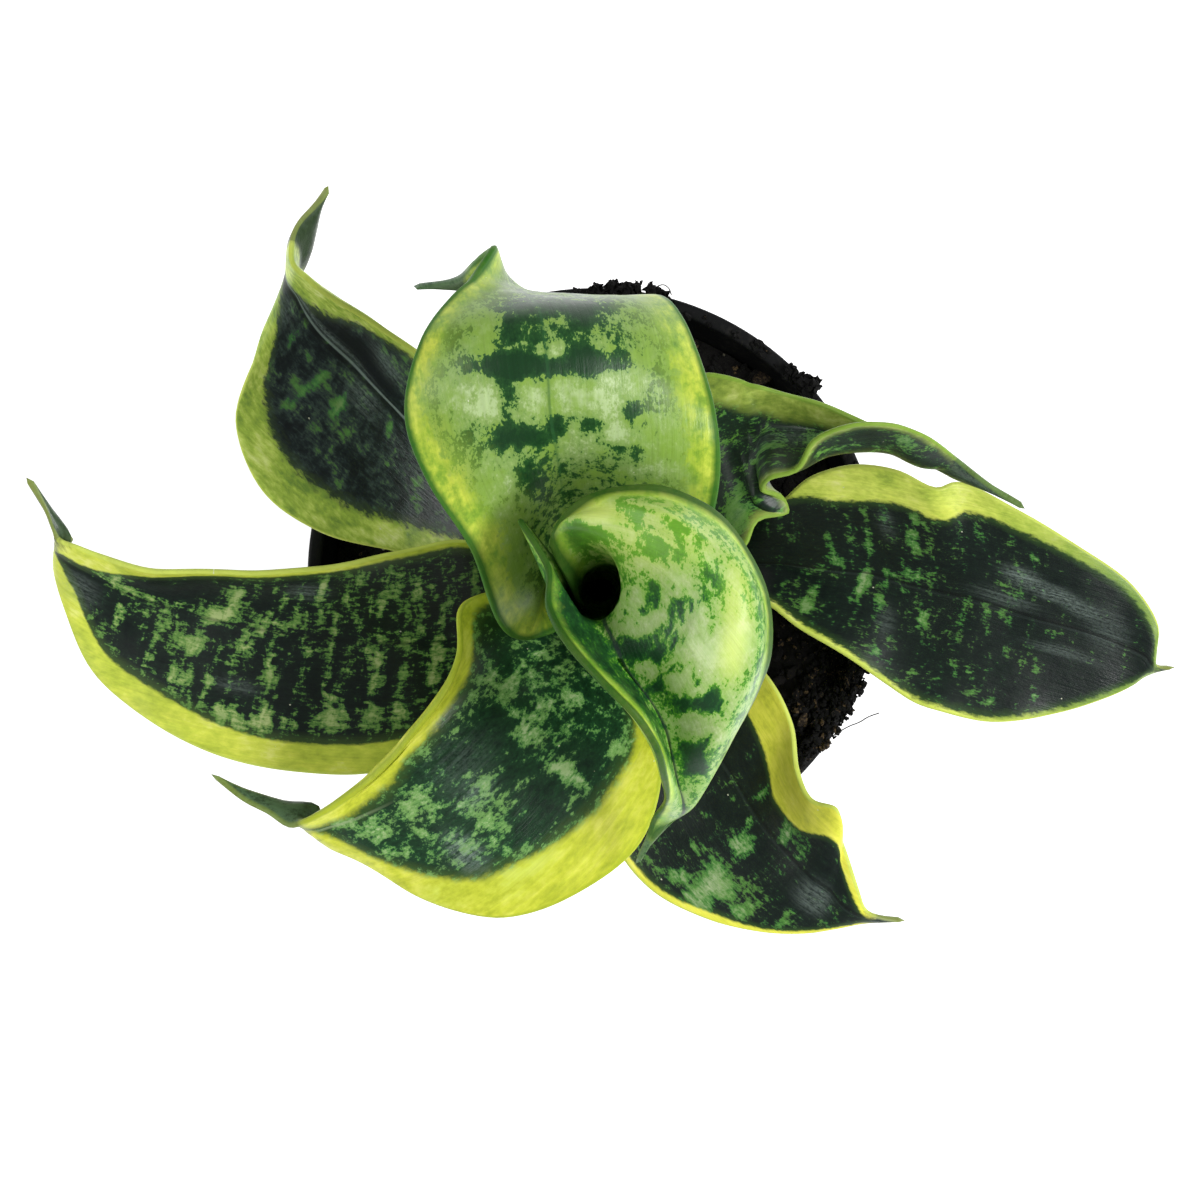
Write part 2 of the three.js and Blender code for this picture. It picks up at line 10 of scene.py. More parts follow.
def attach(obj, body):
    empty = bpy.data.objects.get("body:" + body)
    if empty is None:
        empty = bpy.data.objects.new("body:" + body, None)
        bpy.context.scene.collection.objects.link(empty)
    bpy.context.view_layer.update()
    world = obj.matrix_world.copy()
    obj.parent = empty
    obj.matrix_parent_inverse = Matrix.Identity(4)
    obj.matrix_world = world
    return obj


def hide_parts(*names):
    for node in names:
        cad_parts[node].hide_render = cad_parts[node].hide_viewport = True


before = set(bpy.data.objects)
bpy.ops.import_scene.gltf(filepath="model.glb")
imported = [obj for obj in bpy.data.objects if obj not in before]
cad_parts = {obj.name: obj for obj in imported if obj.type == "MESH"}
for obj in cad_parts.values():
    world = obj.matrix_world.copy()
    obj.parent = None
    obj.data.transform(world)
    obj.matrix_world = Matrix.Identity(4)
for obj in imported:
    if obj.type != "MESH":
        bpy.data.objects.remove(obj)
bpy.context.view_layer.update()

MM = 0.001

# Sizes repeated from the part's solids, in mm
RIM_RADIUS = 54
POT_HEIGHT = 92
WALL = 1.1
BASE_RADIUS = 40
SHOULDER_RADIUS = 50.4
SHOULDER_HEIGHT = 83
RIM_WIDTH = 2.8
RIM_THICKNESS = 1.4
SKIRT_DEPTH = 7.5
SKIRT_THICKNESS = 1.4
LIP_ROUNDING = 0.7
SKIRT_ROUNDING = 0.45
FLOOR_THICKNESS = 1.2
FLOOR_RECESS = 1.6
HUB_RADIUS = 14
FOOT_RADIUS = 38
FOOT_WIDTH = 6
DRAIN_COUNT = 8
SOIL_LEVEL = 84
CROWN = np.array([1.0, -3.0, 0.0])
LEAF_FOOT = 75
FLESH_MIDDLE = 2.5
FLESH_MARGIN = 1.0
FLESH_TIP = 1.3
FLESH_TAPER_WIDTH = 7
EDGE_ROUNDING = 0.5

# Fineness of the blades, and their ripple in mm, which sets in between two lengths along the leaf
ROW_STEP = 1.5
COLUMNS = 44
ACROSS_SAMPLES = 201
RIPPLE_HEIGHT = 0.35
RIPPLE_PITCH = 13
RIPPLE_START = 25
RIPPLE_FULL = 50

# Drains in mm: slots (outward, round, high) through the bottom corner, and round holes in the floor
DRAIN_SLOT = (9, 7.5, 10)
SLOT_PLACE = (41, 0, 3)
DRAIN_HOLE_RADIUS = 3
DRAIN_HOLE_DEPTH = 10
HOLE_PLACE = (23, 0, 1.6)

# Fineness of the pot, and the angle in degrees past which its edges look crisp
POT_SIDES = 160
CREASE_ANGLE = 32

# Fineness of the soil's surface, its edge and grit in mm, and its plain plug as (radius, height) in mm
SOIL_RINGS = 84
SOIL_SIDES = 300
SOIL_EDGE = 49.1
GRIT_HEIGHT = 0.7
GRIT_PITCH = 2.6
PLUG = [(36, 3.1), (38.5, 5), (48.4, SHOULDER_HEIGHT - 4)]

# Light of the studio's air and what glossy skins mirror of it, as the world's strength
AIR_LIGHT = 0.42
MIRRORED_LIGHT = 0.22

# Place in m that the lamps aim at, and half the floor's width and its drop below the pot
LAMP_AIM = (0, 0, 0.1)
FLOOR_HALF = 3.0
FLOOR_DROP = 0.0003

# Camera: the lens looks straight down; its field is worked out for a picture 1200 pixels wide
PICTURE_WIDTH = 1200
FOCAL_PIXELS = 2928
CAMERA_PLACE = (1.0, -4.6, 642)
SENSOR_WIDTH = 36


def linear(hex_colour):
    """Turns an sRGB hex colour into linear RGBA."""
    channels = [int(hex_colour[i:i + 2], 16) / 255 for i in (1, 3, 5)]
    return tuple(c / 12.92 if c <= 0.04045 else ((c + 0.055) / 1.055) ** 2.4 for c in channels) + (1.0,)


def fill(tree, node, inputs):
    """Gives a node's inputs values or other nodes' outputs."""
    for key, value in (inputs.items() if isinstance(inputs, dict) else enumerate(inputs)):
        if isinstance(value, bpy.types.NodeSocket):
            tree.links.new(value, node.inputs[key])
        else:
            node.inputs[key].default_value = value


def add(tree, kind, inputs=(), give=0, stops=None, **settings):
    """Adds a node with its settings, fills its inputs, and returns one output."""
    node = tree.nodes.new(kind)
    for name, value in settings.items():
        setattr(node, name, value)
    fill(tree, node, inputs)
    if stops:
        elements = node.color_ramp.elements
        while len(elements) < len(stops):
            elements.new(1.0)
        for element, (position, colour) in zip(elements, stops):
            element.position = position
            element.color = linear(colour)
    return node.outputs[give] if node.outputs else node


def blank_finish(name):
    """A new material, its node tree and its shader."""
    material = bpy.data.materials.new(name)
    material.use_nodes = True
    return material, material.node_tree, material.node_tree.nodes["Principled BSDF"]


def into_scene(name, data):
    """Makes an object of a mesh, curve, light or camera and links it to the scene."""
    made = bpy.data.objects.new(name, data)
    bpy.context.scene.collection.objects.link(made)
    return made


def ring_faces(rings, around):
    """Faces between closed rings of vertices that follow one another."""
    return [
        (row + i, row + (i + 1) % around, row + around + (i + 1) % around, row + around + i)
        for row in range(0, (rings - 1) * around, around) for i in range(around)
    ]


def fan(start, around, middle):
    """Faces that close the ring from vertex start towards the vertex in its middle."""
    return [(start + i, start + (i + 1) % around, middle) for i in range(around)]


# Curves and surfaces of the blades, in mm

def smoothstep(value, low, high):
    """Share from 0 at low to 1 at high, eased at both ends."""
    share = np.clip((value - low) / (high - low), 0, 1)
    return share * share * (3 - 2 * share)


def curve_through(points, places):
    """Smooth curves through points (count, columns, 3), one for each column, read at places from 0 to 1."""
    spans = len(points) - 1
    knots = np.concatenate([[2 * points[0] - points[1]], points, [2 * points[-1] - points[-2]]])
    gaps = np.sum(np.diff(knots, axis=0) ** 2, axis=-1) ** 0.25
    scaled = np.clip(places, 0, 1) * spans
    span = np.minimum(scaled.astype(int), spans - 1)
    share = (scaled - span)[:, None, None]
    middle = np.where(gaps[span + 1] < 1e-4, 1, gaps[span + 1])
    before = np.where(gaps[span] < 1e-4, middle, gaps[span])[..., None]
    after = np.where(gaps[span + 2] < 1e-4, middle, gaps[span + 2])[..., None]
    middle = middle[..., None]
    p0, p1, p2, p3 = (knots[span + i] for i in range(4))
    leave = ((p1 - p0) / before - (p2 - p0) / (before + middle) + (p2 - p1) / middle) * middle
    arrive = ((p2 - p1) / middle - (p3 - p1) / (middle + after) + (p3 - p2) / after) * middle
    square = 3 * (p2 - p1) - 2 * leave - arrive
    cube = 2 * (p1 - p2) + leave + arrive
    return p1 + leave * share + square * share ** 2 + cube * share ** 3


def wrap(height, radius, azimuth, left, right, tuck=0.0):
    """Section rolled round the crown; the left margin may be tucked inside the ring."""
    def section(across):
        angle = np.radians(azimuth - across * np.where(across < 0, left, right))
        reach = radius - tuck * np.maximum(0, -across) ** 1.5
        height_there = np.full_like(across, height)
        return CROWN + np.stack([reach * np.cos(angle), reach * np.sin(angle), height_there], axis=-1)
    return section


def channel(left, midrib, right, keel=1.5):
    """Shallow channel through left margin, midrib and right margin."""
    left, midrib, right = (np.array(point, float) for point in (left, midrib, right))
    rise = (left + right) / 2 - midrib
    return lambda across: (
        midrib + across[:, None] * (right - left) / 2 + np.abs(across)[:, None] ** keel * rise
    )


def folded(left_points, midrib, right_points):
    """Free curve from the left margin over the midrib to the right margin."""
    points = np.array([*left_points, midrib, *right_points], float)[:, None]
    left_count, right_count = len(left_points), len(right_points)

    def section(across):
        steps = left_count + across * np.where(across < 0, left_count, right_count)
        return curve_through(points, steps / (left_count + right_count))[:, 0]
    return section


def tip(x, y, z):
    """Section where the leaf runs out in a point."""
    return lambda across: np.tile([float(x), float(y), float(z)], (len(across), 1))


def row_places(sections):
    """Places of the rows from foot to tip, close enough together that the blade is smooth."""
    ends = np.array([-0.9, 0.0, 0.9])
    lengths = [
        np.linalg.norm(here(ends) - there(ends), axis=1).max()
        for here, there in zip(sections, sections[1:])
    ]
    places = []
    for span, length in enumerate(lengths):
        steps = max(3, math.ceil(length / ROW_STEP))
        places.extend((span + step / steps) / len(lengths) for step in range(steps))
    return np.array(places)


def surface(sections, places):
    """Middle surface of a leaf and its normals, (rows, samples, 3) each, at even steps across."""
    across = np.linspace(-1, 1, ACROSS_SAMPLES)
    stations = np.stack([section(across) for section in sections])
    rows = curve_through(stations, places)
    onwards = curve_through(stations, places + 0.002) - curve_through(stations, places - 0.002)
    normals = np.cross(np.gradient(rows, axis=1), onwards)
    normals /= np.maximum(np.linalg.norm(normals, axis=-1, keepdims=True), 1e-9)
    return rows, normals


def measures(rows):
    """Arc lengths in mm: from the left margin, (rows, samples), and along the midrib, (rows,)."""
    steps = np.linalg.norm(np.diff(rows, axis=1), axis=-1)
    from_left = np.concatenate([np.zeros((len(rows), 1)), np.cumsum(steps, axis=1)], axis=1)
    midrib = rows[:, ACROSS_SAMPLES // 2]
    along = np.concatenate([[0], np.cumsum(np.linalg.norm(np.diff(midrib, axis=0), axis=-1))])
    return from_left, along


def piece(name, mesh, slot, replaces=()):
    """Makes a mesh a piece of the plant."""
    made = into_scene(name, mesh)
    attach(made, "root")
    if replaces:
        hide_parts(*replaces)


def smooth_mesh(name, vertices, faces, material):
    """Smooth-shaded mesh from vertices in mm."""
    mesh = bpy.data.meshes.new(name)
    mesh.from_pydata((np.asarray(vertices) * MM).tolist(), [], faces)
    mesh.materials.append(material)
    mesh.shade_smooth()
    return mesh


def store(mesh, name, values):
    """Stores a number or a vector for every vertex."""
    values = np.asarray(values, np.float32)
    kind, key = ("FLOAT", "value") if values.ndim == 1 else ("FLOAT_VECTOR", "vector")
    mesh.attributes.new(name, kind, "POINT").data.foreach_set(key, values.ravel())


def resample(rows, across):
    """Reads rows (rows, samples, ...) at places from -1 to 1 across, (rows, columns)."""
    position = (across + 1) / 2 * (ACROSS_SAMPLES - 1)
    low = np.clip(position.astype(int), 0, ACROSS_SAMPLES - 2)
    share = (position - low).reshape(position.shape + (1,) * (rows.ndim - 2))
    index = np.arange(len(rows))[:, None]
    return rows[index, low] * (1 - share) + rows[index, low + 1] * share


def blade(sections):
    """Closed blade as rings from foot to tip: vertices in mm, faces, and measures of every vertex."""
    places = row_places(sections)
    rows, normals = surface(sections, places)
    from_left, along = measures(rows)
    width = from_left[:, -1:]
    inset = np.minimum(EDGE_ROUNDING / np.maximum(width / 2, EDGE_ROUNDING), 0.4)
    turn = np.radians([0, 30, 60])
    flat = np.ones(COLUMNS + 1)
    share = np.concatenate([-np.ones(3), np.linspace(-1, 1, COLUMNS + 1), np.ones(3)])
    outward = np.concatenate([np.cos(turn), 0 * flat, np.cos(turn[::-1])])
    round_off = np.concatenate([np.sin(turn), flat, np.sin(turn[::-1])])
    across = share * (1 - inset * (1 - outward))
    middle = FLESH_TIP + (FLESH_MIDDLE - FLESH_TIP) * smoothstep(width / 2, 0, FLESH_TAPER_WIDTH)
    bulge = np.abs(share) ** 2.5
    half = (middle * (1 - bulge) + np.minimum(FLESH_MARGIN, middle) * bulge) * round_off / 2
    centre = resample(rows, across)
    out = resample(normals, across)
    out[0, :, 2] = 0
    out /= np.maximum(np.linalg.norm(out, axis=-1, keepdims=True), 1e-9)
    grids = {
        "across": resample(from_left - from_left[:, ACROSS_SAMPLES // 2, None], across),
        "from_left": resample(from_left, across),
        "from_right": resample(width - from_left, across),
        "along": np.broadcast_to(along[:, None], across.shape),
    }
    last = len(share) - 1
    columns = [*range(last + 1), *range(last - 1, 0, -1)]
    side = np.array([1.0] * (last + 1) + [-1.0] * (last - 1))
    around = len(columns)
    rings = centre[:, columns] + out[:, columns] * (half[:, columns] * side)[..., None]
    vertices = np.concatenate([rings.reshape(-1, 3), sections[-1](np.zeros(1))])
    values = {
        name: np.append(grid[:, columns].ravel(), grid[-1, last // 2]) for name, grid in grids.items()
    }
    values["upper"] = np.append(np.tile(side > 0, len(places)), True).astype(float)
    values["out"] = np.concatenate([out[:, columns].reshape(-1, 3), np.zeros((1, 3))])
    values["tip_way"] = np.append(np.repeat(along[-1] - along, around), 0) + np.linalg.norm(
        vertices[-1] - rings[-1].mean(0)
    )
    tip_index = len(vertices) - 1
    faces = ring_faces(len(places), around) + fan(tip_index - around, around, tip_index)
    faces.append((1, 0, around - 1))
    faces += [(i + 1, i, around - i, around - i - 1) for i in range(1, last - 1)]
    faces.append((last, last - 1, last + 1))
    return vertices, faces, values


# Youngest leaf: rolled into a funnel over the crown, then a broad blade that heads to the front
CENTRE_LEAF = [
    wrap(LEAF_FOOT, 3, 280, 125, 125),
    wrap(90, 3.2, 280, 135, 122),
    wrap(115, 3.9, 280, 190, 118, 0.6),
    wrap(138, 4.8, 280, 285, 112, 2.2),
    wrap(154, 6, 280, 305, 116, 2.2),
    wrap(164, 7.1, 280, 262, 130, 2.8),
    folded(
        [[-7, 5, 172], [-3.5, 7.5, 177], [4, 3.5, 178], [5.5, -4.5, 174]],
        [1.5, -9, 170],
        [[-2.5, -8, 170], [-12, 8.5, 169]],
    ),
    folded(
        [[-3.5, 10.5, 175], [5.5, 8.5, 181], [11.5, 2, 183], [11, -6.5, 179]],
        [3, -12, 173],
        [[-1.5, -9.5, 173], [-7.5, 1, 174]],
    ),
    folded(
        [[0.5, 12.5, 176], [11.5, 8, 184], [16.5, -1.5, 184], [13, -11, 180]],
        [4, -14.5, 174],
        [[-1, -11.5, 176], [-7.5, -5.5, 177]],
    ),
    folded(
        [[10.5, 13.5, 176], [19, 1.5, 184], [15.5, -11.5, 182]],
        [6.5, -18, 174],
        [[1.5, -15.5, 180], [-4.5, -11, 184]],
    ),
    folded(
        [[20, 9, 176], [24, -4.5, 183], [17, -16, 181]],
        [9, -21.5, 173],
        [[5, -20, 183], [0.5, -17, 188]],
    ),
    folded(
        [[26.5, -0.5, 176], [25.5, -12.5, 180], [18.5, -21, 178]],
        [11, -25.5, 171],
        [[8, -24, 182], [5.5, -22, 189]],
    ),
    folded([[28.5, -12, 173], [20, -25.5, 175]], [12, -30, 169], [[10.5, -28.5, 178], [9, -26.5, 186]]),
    folded([[25, -22, 168], [18.5, -31, 169]], [13, -35, 165], [[12, -33.5, 172], [11, -32, 179]]),
    folded([[19.5, -32, 164], [16.5, -36.5, 163]], [14, -38, 161], [[12.5, -37, 166], [11.5, -36, 171]]),
    channel([16, -39, 159], [13, -40, 157.5], [11, -38.5, 163]),
    channel([12.5, -42, 156], [11, -42, 156], [9.5, -41, 158]),
    channel([10, -45, 153], [9.3, -45, 153], [8.5, -44.7, 154]),
    tip(7, -49, 150),
]

# Second leaf: broad, heads to the back, and folds down over its own shoulder before the tip
BACK_LEAF = [
    wrap(LEAF_FOOT, 6.4, 100, 110, 100),
    wrap(92, 6.9, 100, 112, 100),
    wrap(115, 8.6, 102, 116, 100),
    wrap(130, 10.8, 105, 118, 98),
    folded([[-12.5, -11.5, 141], [-9.5, -2, 146]], [-5.5, 8, 141], [[5.5, 8, 141], [12.5, -2, 141]]),
    folded([[-16, -8.5, 153], [-12.5, 2, 153]], [-5.5, 12, 152], [[7.5, 12, 154], [18, 4.5, 156]]),
    folded([[-20.5, 4, 162], [-14.5, 9, 162]], [-6, 18.5, 165], [[8.5, 19, 168], [20.5, 15, 166]]),
    channel([-27, 14.5, 167], [-7, 26, 174], [20, 23.5, 170], 1.8),
    channel([-30.5, 25, 170], [-7.5, 33, 177], [17.5, 34, 167], 1.8),
    channel([-28, 36.5, 171], [-8.5, 40, 174], [13, 44, 160], 1.8),
    channel([-23.5, 44, 167], [-11, 44, 164], [6.5, 46, 147]),
    channel([-19, 49.5, 161], [-14.5, 47.2, 152], [-4, 45.5, 137]),
    channel([-16.5, 54.2, 156], [-16.3, 50.5, 148], [-14.5, 46.5, 134]),
    channel([-20, 52.5, 149], [-20.5, 50.5, 143], [-20, 48.5, 136]),
    channel([-23.5, 50.5, 141], [-24, 49.8, 138.5], [-24, 49, 136]),
    tip(-31.5, 50, 132),
]

# Third pair of leaves, right round the first two
FRONT_LEFT_LEAF = [
    wrap(LEAF_FOOT, 9.7, 215, 80, 80),
    wrap(92, 10.2, 215, 82, 80),
    wrap(105, 11, 218, 80, 70),
    channel([4, -15, 126], [-7.5, -12, 116], [-17, -2.5, 124]),
    channel([8.5, -23, 138], [-11.5, -16, 127], [-23, -6, 138]),
    channel([11.5, -34, 146], [-16, -22.5, 136], [-23.2, -14, 143], 1.7),
    channel([8, -45.5, 147], [-21.5, -28.5, 139], [-26, -21.5, 144], 1.8),
    channel([-2.5, -54.5, 143], [-27, -33.5, 139], [-30.5, -27, 143], 1.8),
    channel([-15.5, -59.5, 137], [-33, -38, 136], [-36, -33.5, 139], 1.8),
    channel([-29.5, -57, 131], [-40, -41.5, 132], [-41.5, -38, 135], 1.7),
    channel([-40.5, -51, 127], [-46, -43.5, 128], [-47, -41.5, 132]),
    channel([-48, -47, 124], [-50.5, -44.5, 126], [-51, -43.5, 129]),
    channel([-49, -41.5, 121], [-52, -42.5, 124], [-54, -44.5, 126.5]),
    channel([-55, -40.5, 121], [-56.5, -41.2, 122.5], [-58, -42, 124.5]),
    channel([-61.5, -38.5, 121], [-62, -39.2, 122], [-62.5, -40, 123]),
    tip(-68, -35.5, 123),
]

BACK_RIGHT_LEAF = [
    wrap(LEAF_FOOT, 9.7, 38, 78, 78),
    wrap(92, 10.3, 38, 78, 78),
    wrap(103, 12.6, 42, 66, 66),
    channel([8, 27.5, 118], [13.5, 15, 112], [20, 2.5, 118]),
    channel([19, 35, 131], [23, 22, 125], [26, 4.5, 132]),
    channel([22.5, 34.5, 132], [26, 23.5, 126], [28.5, 9, 132]),
    folded([[24.5, 34, 132]], [27.5, 24, 126.5], [[28.8, 12.5, 131], [34, 10.5, 129]]),
    folded([[25.5, 33.7, 132]], [28.5, 24, 127], [[28.8, 14.2, 131], [33.5, 12.8, 130]]),
    channel([27, 33, 132], [29.5, 24.5, 127], [29, 14, 135]),
    channel([28.5, 32.7, 132], [30.5, 25, 127], [30, 16, 139]),
    folded([[33.5, 31.5, 130]], [34.5, 25.5, 126], [[35.5, 19.5, 132], [34.5, 17.5, 139]]),
    folded([[39.5, 30, 129]], [40.5, 25, 124], [[40.5, 21.5, 131], [37.5, 22.5, 142]]),
    folded([[45.5, 27.5, 127]], [45.5, 24.8, 123], [[46, 22.3, 130], [43, 25, 144]]),
    folded([[51, 24.5, 126]], [52, 23.5, 123], [[52, 22.2, 129], [49.5, 25.5, 143]]),
    folded([[57, 21.5, 125]], [57.5, 20.5, 124], [[58, 19.7, 128], [57, 23.5, 138]]),
    channel([63, 17, 125], [63, 18.3, 127.5], [63.5, 20, 131]),
    channel([69.5, 14.5, 124], [69.5, 15, 125], [69.5, 15.5, 126.5]),
    tip(76.5, 11.5, 122),
]

# Fourth pair: the long leaf to the left and the short one to the front right
LEFT_LEAF = [
    wrap(LEAF_FOOT, 13.1, 184, 54, 62),
    wrap(89, 13.6, 187, 52, 60),
    channel([-13, -21, 104], [-14, -7.5, 99], [-15.5, 2.5, 108]),
    channel([-25, -31, 114], [-23.5, -11, 109], [-23.5, 6, 120]),
    channel([-38.5, -35.5, 118], [-35, -12, 113], [-34.5, 4, 124]),
    channel([-53, -35.5, 118], [-48.5, -11, 115], [-45, 1.5, 126], 1.7),
    channel([-68, -32.5, 116], [-62, -9, 115], [-57.5, 0.5, 125], 1.7),
    channel([-81, -26, 114], [-74.5, -6, 114], [-69.5, 0.5, 123], 1.7),
    channel([-91, -17.5, 112], [-85, -2.5, 114], [-81, 1, 121]),
    channel([-95.5, -7.5, 112], [-91.5, 1, 115], [-88.5, 3.5, 119]),
    channel([-97.5, 2, 113], [-95.5, 4, 116], [-92, 5, 119.5]),
    channel([-96, 4.5, 114], [-96, 5.5, 117], [-95.5, 6.2, 119.5]),
    channel([-93.5, 6, 117], [-95.2, 7.5, 118.5], [-96.5, 7.5, 120]),
    channel([-97, 11.2, 119], [-97.5, 11.5, 120.5], [-98, 11.8, 121.5]),
    tip(-100.5, 17, 124),
]

FRONT_RIGHT_LEAF = [
    wrap(LEAF_FOOT, 13.1, 305, 58, 58),
    wrap(88, 13.7, 306, 56, 54),
    channel([23.5, -10, 102], [14, -17, 98], [3, -21.5, 103]),
    channel([32, -19.5, 113], [20.5, -29.5, 104], [3, -36, 108]),
    channel([35.5, -27, 113], [26, -38.5, 105], [3.5, -48.5, 107], 1.8),
    channel([36.5, -35, 113], [30.5, -45.5, 106], [10, -57.5, 106], 1.8),
    channel([39, -40.5, 115], [35, -50.5, 107], [20, -63, 105], 1.8),
    channel([43.5, -42, 117], [39.5, -55, 108], [29.5, -65.5, 104], 1.8),
    channel([45, -48.5, 112], [43.5, -58, 107], [38.5, -66, 104]),
    channel([48, -57.5, 110], [46.5, -61, 107], [44.5, -65, 105]),
    channel([50, -61.5, 107.5], [49.5, -62.5, 106.5], [49, -64, 105.5]),
    tip(57, -63.5, 105),
]

# Outermost pair: the leaf to the back left and the broad one to the right
BACK_LEFT_LEAF = [
    wrap(LEAF_FOOT, 16.4, 128, 56, 56),
    wrap(87, 16.9, 129, 52, 50),
    channel([-23, 0.5, 104], [-17.5, 14, 100], [-13.5, 28, 108]),
    channel([-36, 4, 110], [-28, 22, 107], [-24, 35, 118]),
    channel([-49.5, 7.5, 112], [-36.5, 31, 112], [-33, 40, 124]),
    channel([-60, 15, 113], [-43.5, 38.5, 117], [-40.5, 45, 127], 1.7),
    channel([-64.5, 27.5, 116], [-49, 44, 121], [-45.5, 48, 130], 1.7),
    channel([-61, 37.5, 120], [-52, 49, 125], [-49.5, 51, 134]),
    channel([-56.5, 47.5, 122], [-53, 52, 129], [-52, 53.5, 138]),
    channel([-51.5, 54, 124], [-52, 56, 132], [-52, 57, 140]),
    channel([-48.5, 59.5, 133], [-49.5, 59.5, 137], [-51, 59.5, 141]),
    channel([-47, 62.5, 140], [-47.5, 62.5, 142], [-48, 62.5, 143]),
    tip(-45, 65.5, 146),
]

RIGHT_LEAF = [
    wrap(LEAF_FOOT, 16.4, 0, 50, 44),
    wrap(86, 17, 2, 46, 36),
    channel([26, 10, 97], [24, 1, 92], [23.5, -7.5, 95]),
    channel([32.5, 12, 107], [33.5, 2, 99], [30.5, -5, 105]),
    channel([39, 17.5, 114], [42, 1, 103], [37.5, -10, 108]),
    channel([47, 19.5, 118], [50.5, 0, 105], [45, -14.5, 109]),
    channel([54.5, 18.5, 119], [58, -2, 107], [53, -20, 108], 1.7),
    channel([61, 15.5, 119], [64, -3.5, 108], [58.5, -23.5, 108], 1.7),
    channel([65, 16.5, 118], [68.5, -4.5, 109], [63, -25, 108], 1.7),
    channel([75, 12, 117], [76.5, -7, 109], [72.5, -27, 107], 1.7),
    channel([86.5, 5.5, 115], [87.5, -10, 109], [84.5, -25.5, 106], 1.7),
    channel([97.5, -2, 112], [96, -13, 108], [94, -22.5, 106]),
    channel([102.5, -9.5, 110], [100.5, -15, 107.5], [98.5, -20.5, 105.5]),
    channel([102.5, -14, 108], [101.5, -16.5, 107], [100.5, -19, 105.5]),
    channel([102.8, -16.5, 106.5], [102.8, -17.3, 106], [102.8, -18, 105.5]),
    tip(106.5, -17, 105),
]


# What a blade carries on every vertex for its skin
VECTORS = ("grain", "lanes", "zones")
NUMBERS = ("marks", "painted_sheen", "gold", "upper")


def leaf_patterns(tree, look, vectors, seed):
    """Noise fields of a skin by name, each stretched to its size in mm; the bars sway with the patches."""
    fields = {}
    for number, (field, source, (wide, long), detail) in enumerate(look["patterns"]):
        shift = (13.7 * number + seed, 7.1 * seed, 3.3 * seed + number)
        place = add(
            tree, "ShaderNodeVectorMath", [vectors[source], (1 / wide, 1 / long, 1 / long), shift],
            operation="MULTIPLY_ADD",
        )
        if field == "bars":
            sway = add(tree, "ShaderNodeMath", [fields["patches"], 2.2], operation="MULTIPLY")
            lift = add(tree, "ShaderNodeCombineXYZ", {"Y": sway})
            place = add(tree, "ShaderNodeVectorMath", [place, lift], operation="ADD")
        settings = {"Vector": place, "Scale": 1.0, "Detail": detail, "Roughness": 0.7}
        fields[field] = add(tree, "ShaderNodeTexNoise", settings, give="Fac")
    return fields


def leaf_tones(tree, look, fields, marks):
    """Tones of the blade and of its bands: the patterns by weight, with the painted marks."""
    tones = []
    for mix, base, share in ((look["mix"], look["base"], 1.0), (look["band_mix"], 0.5, 0.3)):
        start = base - sum(mix.values()) / 2
        tone = add(tree, "ShaderNodeMath", [marks, share, start], operation="MULTIPLY_ADD")
        for field, weight in mix.items():
            tone = add(tree, "ShaderNodeMath", [fields[field], weight, tone], operation="MULTIPLY_ADD")
        tones.append(tone)
    return tones


def midrib_lines(tree, look, way, tip_way, inner):
    """Lines beside the midrib as layers, each fading out at its length from the tip."""
    for middle, reach, shade, strength, length in look["midrib"]:
        beside = add(tree, "ShaderNodeMath", [way, 0.4 + middle], operation="SUBTRACT")
        beside = add(tree, "ShaderNodeMath", [beside], operation="ABSOLUTE")
        line = add(tree, "ShaderNodeMapRange", [beside, reach * 0.3, reach, strength, 0.0])
        line = add(tree, "ShaderNodeMath", [line, inner], operation="MULTIPLY")
        near = add(tree, "ShaderNodeMapRange", [tip_way, length * 0.7, length, 1.0, 0.0])
        line = add(tree, "ShaderNodeMath", [line, near], operation="MULTIPLY")
        yield line, linear(shade)


def dried_specks(tree, lanes):
    """Lone pale specks of dried sap and lime, 0.15 mm across, about 6 mm apart."""
    place = add(tree, "ShaderNodeVectorMath", [lanes, (0.38, 0.3, 0.3)], operation="MULTIPLY")
    speck = add(tree, "ShaderNodeTexVoronoi", {"Vector": place, "Scale": 1.0}, give="Distance")
    rare = add(tree, "ShaderNodeSeparateColor", [speck.node.outputs["Color"]])
    small = add(tree, "ShaderNodeMath", [speck, 0.05], operation="LESS_THAN")
    chosen = add(tree, "ShaderNodeMath", [rare, 0.8], operation="GREATER_THAN")
    shown = add(tree, "ShaderNodeMath", [small, chosen], operation="MULTIPLY")
    return add(tree, "ShaderNodeMath", [shown, 0.7], operation="MULTIPLY")


